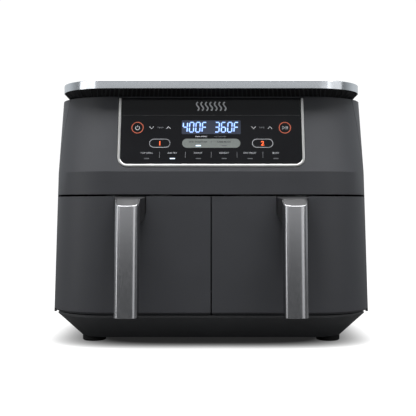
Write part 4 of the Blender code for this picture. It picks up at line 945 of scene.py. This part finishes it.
def blank(low, high, radius):
    """A flat blank with round corners that fills a box's plan, at the box's underside."""
    bm = round_cornered(high.x - low.x, high.y - low.y, radius, CORNER_STEPS)
    middle = (low + high) / 2
    bmesh.ops.translate(bm, vec=(middle.x, middle.y, low.z), verts=bm.verts)
    return bm


def spread(verts, low, high, out):
    """Moves a loop outwards from the rectangle low-high, to both sides and to the rear only."""
    half_x, half_y = (high.x - low.x) / 2, (high.y - low.y) / 2
    middle = (low + high) / 2
    for v in verts:
        v.co.x += out * (v.co.x - middle.x) / half_x
        v.co.y += out * max((v.co.y - middle.y) / half_y, 0.0)


def basket(z):
    low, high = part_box(f"basket_{z}")
    inset = Vector((RIM + DRAFT, 0, 0))
    floor_low = low + inset
    floor_high = high - inset - Vector((0, RIM + DRAFT, 0))
    bm = blank(floor_low, floor_high, BASKET_CORNER)
    floor_edges = [e for e in bm.edges if e.is_boundary]
    rim_edges = floor_edges
    for rise, out in ((high.z - low.z - BASKET_SHEET / 2, DRAFT), (0.0, RIM)):
        made = bmesh.ops.extrude_edge_only(bm, edges=rim_edges)["geom"]
        rim_edges = [g for g in made if isinstance(g, bmesh.types.BMEdge) and g.is_boundary]
        bmesh.ops.translate(bm, vec=(0, 0, rise), verts=points_of(made))
        spread(points_of(made), floor_low, floor_high, out)
    rounded(bm, floor_edges, FLOOR_CURVE, 5)
    bmesh.ops.remove_doubles(bm, verts=bm.verts, dist=0.01 * MM)
    bmesh.ops.recalc_face_normals(bm, faces=bm.faces)
    bmesh.ops.solidify(bm, geom=bm.faces[:], thickness=BASKET_SHEET)
    return keep(f"basket_{z}_pressed", bm, ceramic, f"drawer_{z}", (f"basket_{z}",))


for z in (1, 2):
    made = basket(z)
    print(made.name, len(made.data.polygons), "faces")

# %% [markdown]
# ## Crisper plates
# A plate of pressed steel lies over the basket's floor, so that hot air passes under the food. Its
# round holes stand in rows with every second row shifted by half a step. The holes are cut by one
# Boolean, whose cutter is all the drills together.

# %% Crisper plates
HOLE_RADIUS = 3.2 * MM
HOLE_PITCH = 13.5 * MM
HOLE_MARGIN = 11.0 * MM
HOLE_SIDES = 16
DRILL_LENGTH = 10 * MM
PLATE_CORNER = BASKET_CORNER - 5 * MM


def cut(target, drills):
    """Cuts a bmesh from an object and applies the cut, so that no cutter is left in the scene."""
    cutter_mesh = bpy.data.meshes.new("drills")
    drills.to_mesh(cutter_mesh)
    drills.free()
    cutter = bpy.data.objects.new("drills", cutter_mesh)
    scene.collection.objects.link(cutter)
    shading = target.modifiers[0]
    shading.show_viewport = False
    boolean = target.modifiers.new("drilled", "BOOLEAN")
    boolean.object = cutter
    bpy.context.view_layer.update()
    mesh = bpy.data.meshes.new_from_object(target.evaluated_get(bpy.context.evaluated_depsgraph_get()))
    target.modifiers.remove(boolean)
    target.data = mesh
    shading.show_viewport = True
    bpy.data.objects.remove(cutter)
    mesh.shade_smooth()
    mesh.set_sharp_from_angle(angle=math.radians(SHARP))


def crisper_plate(z):
    node = f"crisper_plate_{z}"
    low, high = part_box(node)
    bm = blank(low, high, PLATE_CORNER)
    thicken(bm, high.z - low.z)
    drills = bmesh.new()
    middle = (low + high) / 2
    rows = int((high.y - low.y - 2 * HOLE_MARGIN) / HOLE_PITCH)
    for row in range(rows + 1):
        y = middle.y + (row - rows / 2) * HOLE_PITCH
        columns = int((high.x - low.x - 2 * HOLE_MARGIN) / HOLE_PITCH) - row % 2
        for column in range(columns + 1):
            x = middle.x + (column - columns / 2) * HOLE_PITCH
            bmesh.ops.create_cone(
                drills,
                cap_ends=True,
                segments=HOLE_SIDES,
                radius1=HOLE_RADIUS,
                radius2=HOLE_RADIUS,
                depth=DRILL_LENGTH,
                matrix=Matrix.Translation((x, y, middle.z)),
            )
    made = keep(f"{node}_pressed", bm, ceramic, BODY_OF[node], (node,))
    cut(made, drills)
    return made


for z in (1, 2):
    made = crisper_plate(z)
    print(made.name, len(made.data.polygons), "faces")

# %% [markdown]
# ## Screws
# The rear cover and the base are held by round-headed screws with a six-lobed recess. A head starts
# as a short drum. Its top face is inset, every other pair of the inner points is pulled in to make
# the lobes, and the face is pushed down.

# %% Screws
SCREW_RADIUS = 3.4 * MM
SCREW_HEIGHT = 1.1 * MM
SCREW_TOP = SCREW_RADIUS * 0.86
RECESS_EDGE = SCREW_RADIUS * 0.36  # how far the recess stays inside the head's top
RECESS_DEPTH = 0.7 * MM
LOBE_PULL = 0.72  # the points between the lobes lie at this share of the lobes' radius
SCREW_SUNK = 0.1 * MM
REAR_SCREW_INSET = 46 * MM  # from the rear cover's side
REAR_SCREW_LOW, REAR_SCREW_HIGH = 22 * MM, 18 * MM  # from its lower and its upper edge
BASE_SCREW_INSET = 24 * MM  # from a foot's middle
FEET = ("foot_front_left", "foot_front_right", "foot_rear_left", "foot_rear_right")


def screw_head(bm, place):
    part = bmesh.new()
    bmesh.ops.create_cone(
        part,
        cap_ends=True,
        segments=24,
        radius1=SCREW_RADIUS,
        radius2=SCREW_TOP,
        depth=SCREW_HEIGHT,
    )
    top = max(part.faces, key=lambda f: f.calc_center_median().z)
    bmesh.ops.inset_region(part, faces=[top], thickness=RECESS_EDGE, use_even_offset=True)
    for i, v in enumerate(top.verts):
        if i // 2 % 2:
            v.co.x, v.co.y = v.co.x * LOBE_PULL, v.co.y * LOBE_PULL
    made = bmesh.ops.extrude_face_region(part, geom=[top])["geom"]
    bmesh.ops.translate(part, vec=(0, 0, -RECESS_DEPTH), verts=points_of(made))
    bmesh.ops.delete(part, geom=[top], context="FACES_ONLY")
    bmesh.ops.recalc_face_normals(part, faces=part.faces)
    mesh = bpy.data.meshes.new("screw")
    part.to_mesh(mesh)
    part.free()
    take(bm, mesh, place @ Matrix.Translation((0, 0, SCREW_HEIGHT / 2 - SCREW_SUNK)))


def screws():
    bm = bmesh.new()
    low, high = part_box("rear_cover")
    rear_y = max(v.co.y for v in nodes["rear_cover"].data.vertices if v.co.z > high.z - MM)
    for side in (-1, 1):
        for height in (low.z + REAR_SCREW_LOW, (low.z + high.z) / 2, high.z - REAR_SCREW_HIGH):
            place = Matrix.Translation((side * (high.x - REAR_SCREW_INSET), rear_y, height))
            screw_head(bm, place @ Matrix.Rotation(-math.pi / 2, 4, "X"))
    for foot in FEET:
        low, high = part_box(foot)
        middle = (low + high) / 2
        x = middle.x - math.copysign(BASE_SCREW_INSET, middle.x)
        place = Matrix.Translation((x, middle.y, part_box("base_pan")[0].z))
        screw_head(bm, place @ Matrix.Rotation(math.pi, 4, "X"))
    return keep("housing_screws", bm, screw_zinc, "housing")


print("screw faces", len(screws().data.polygons))
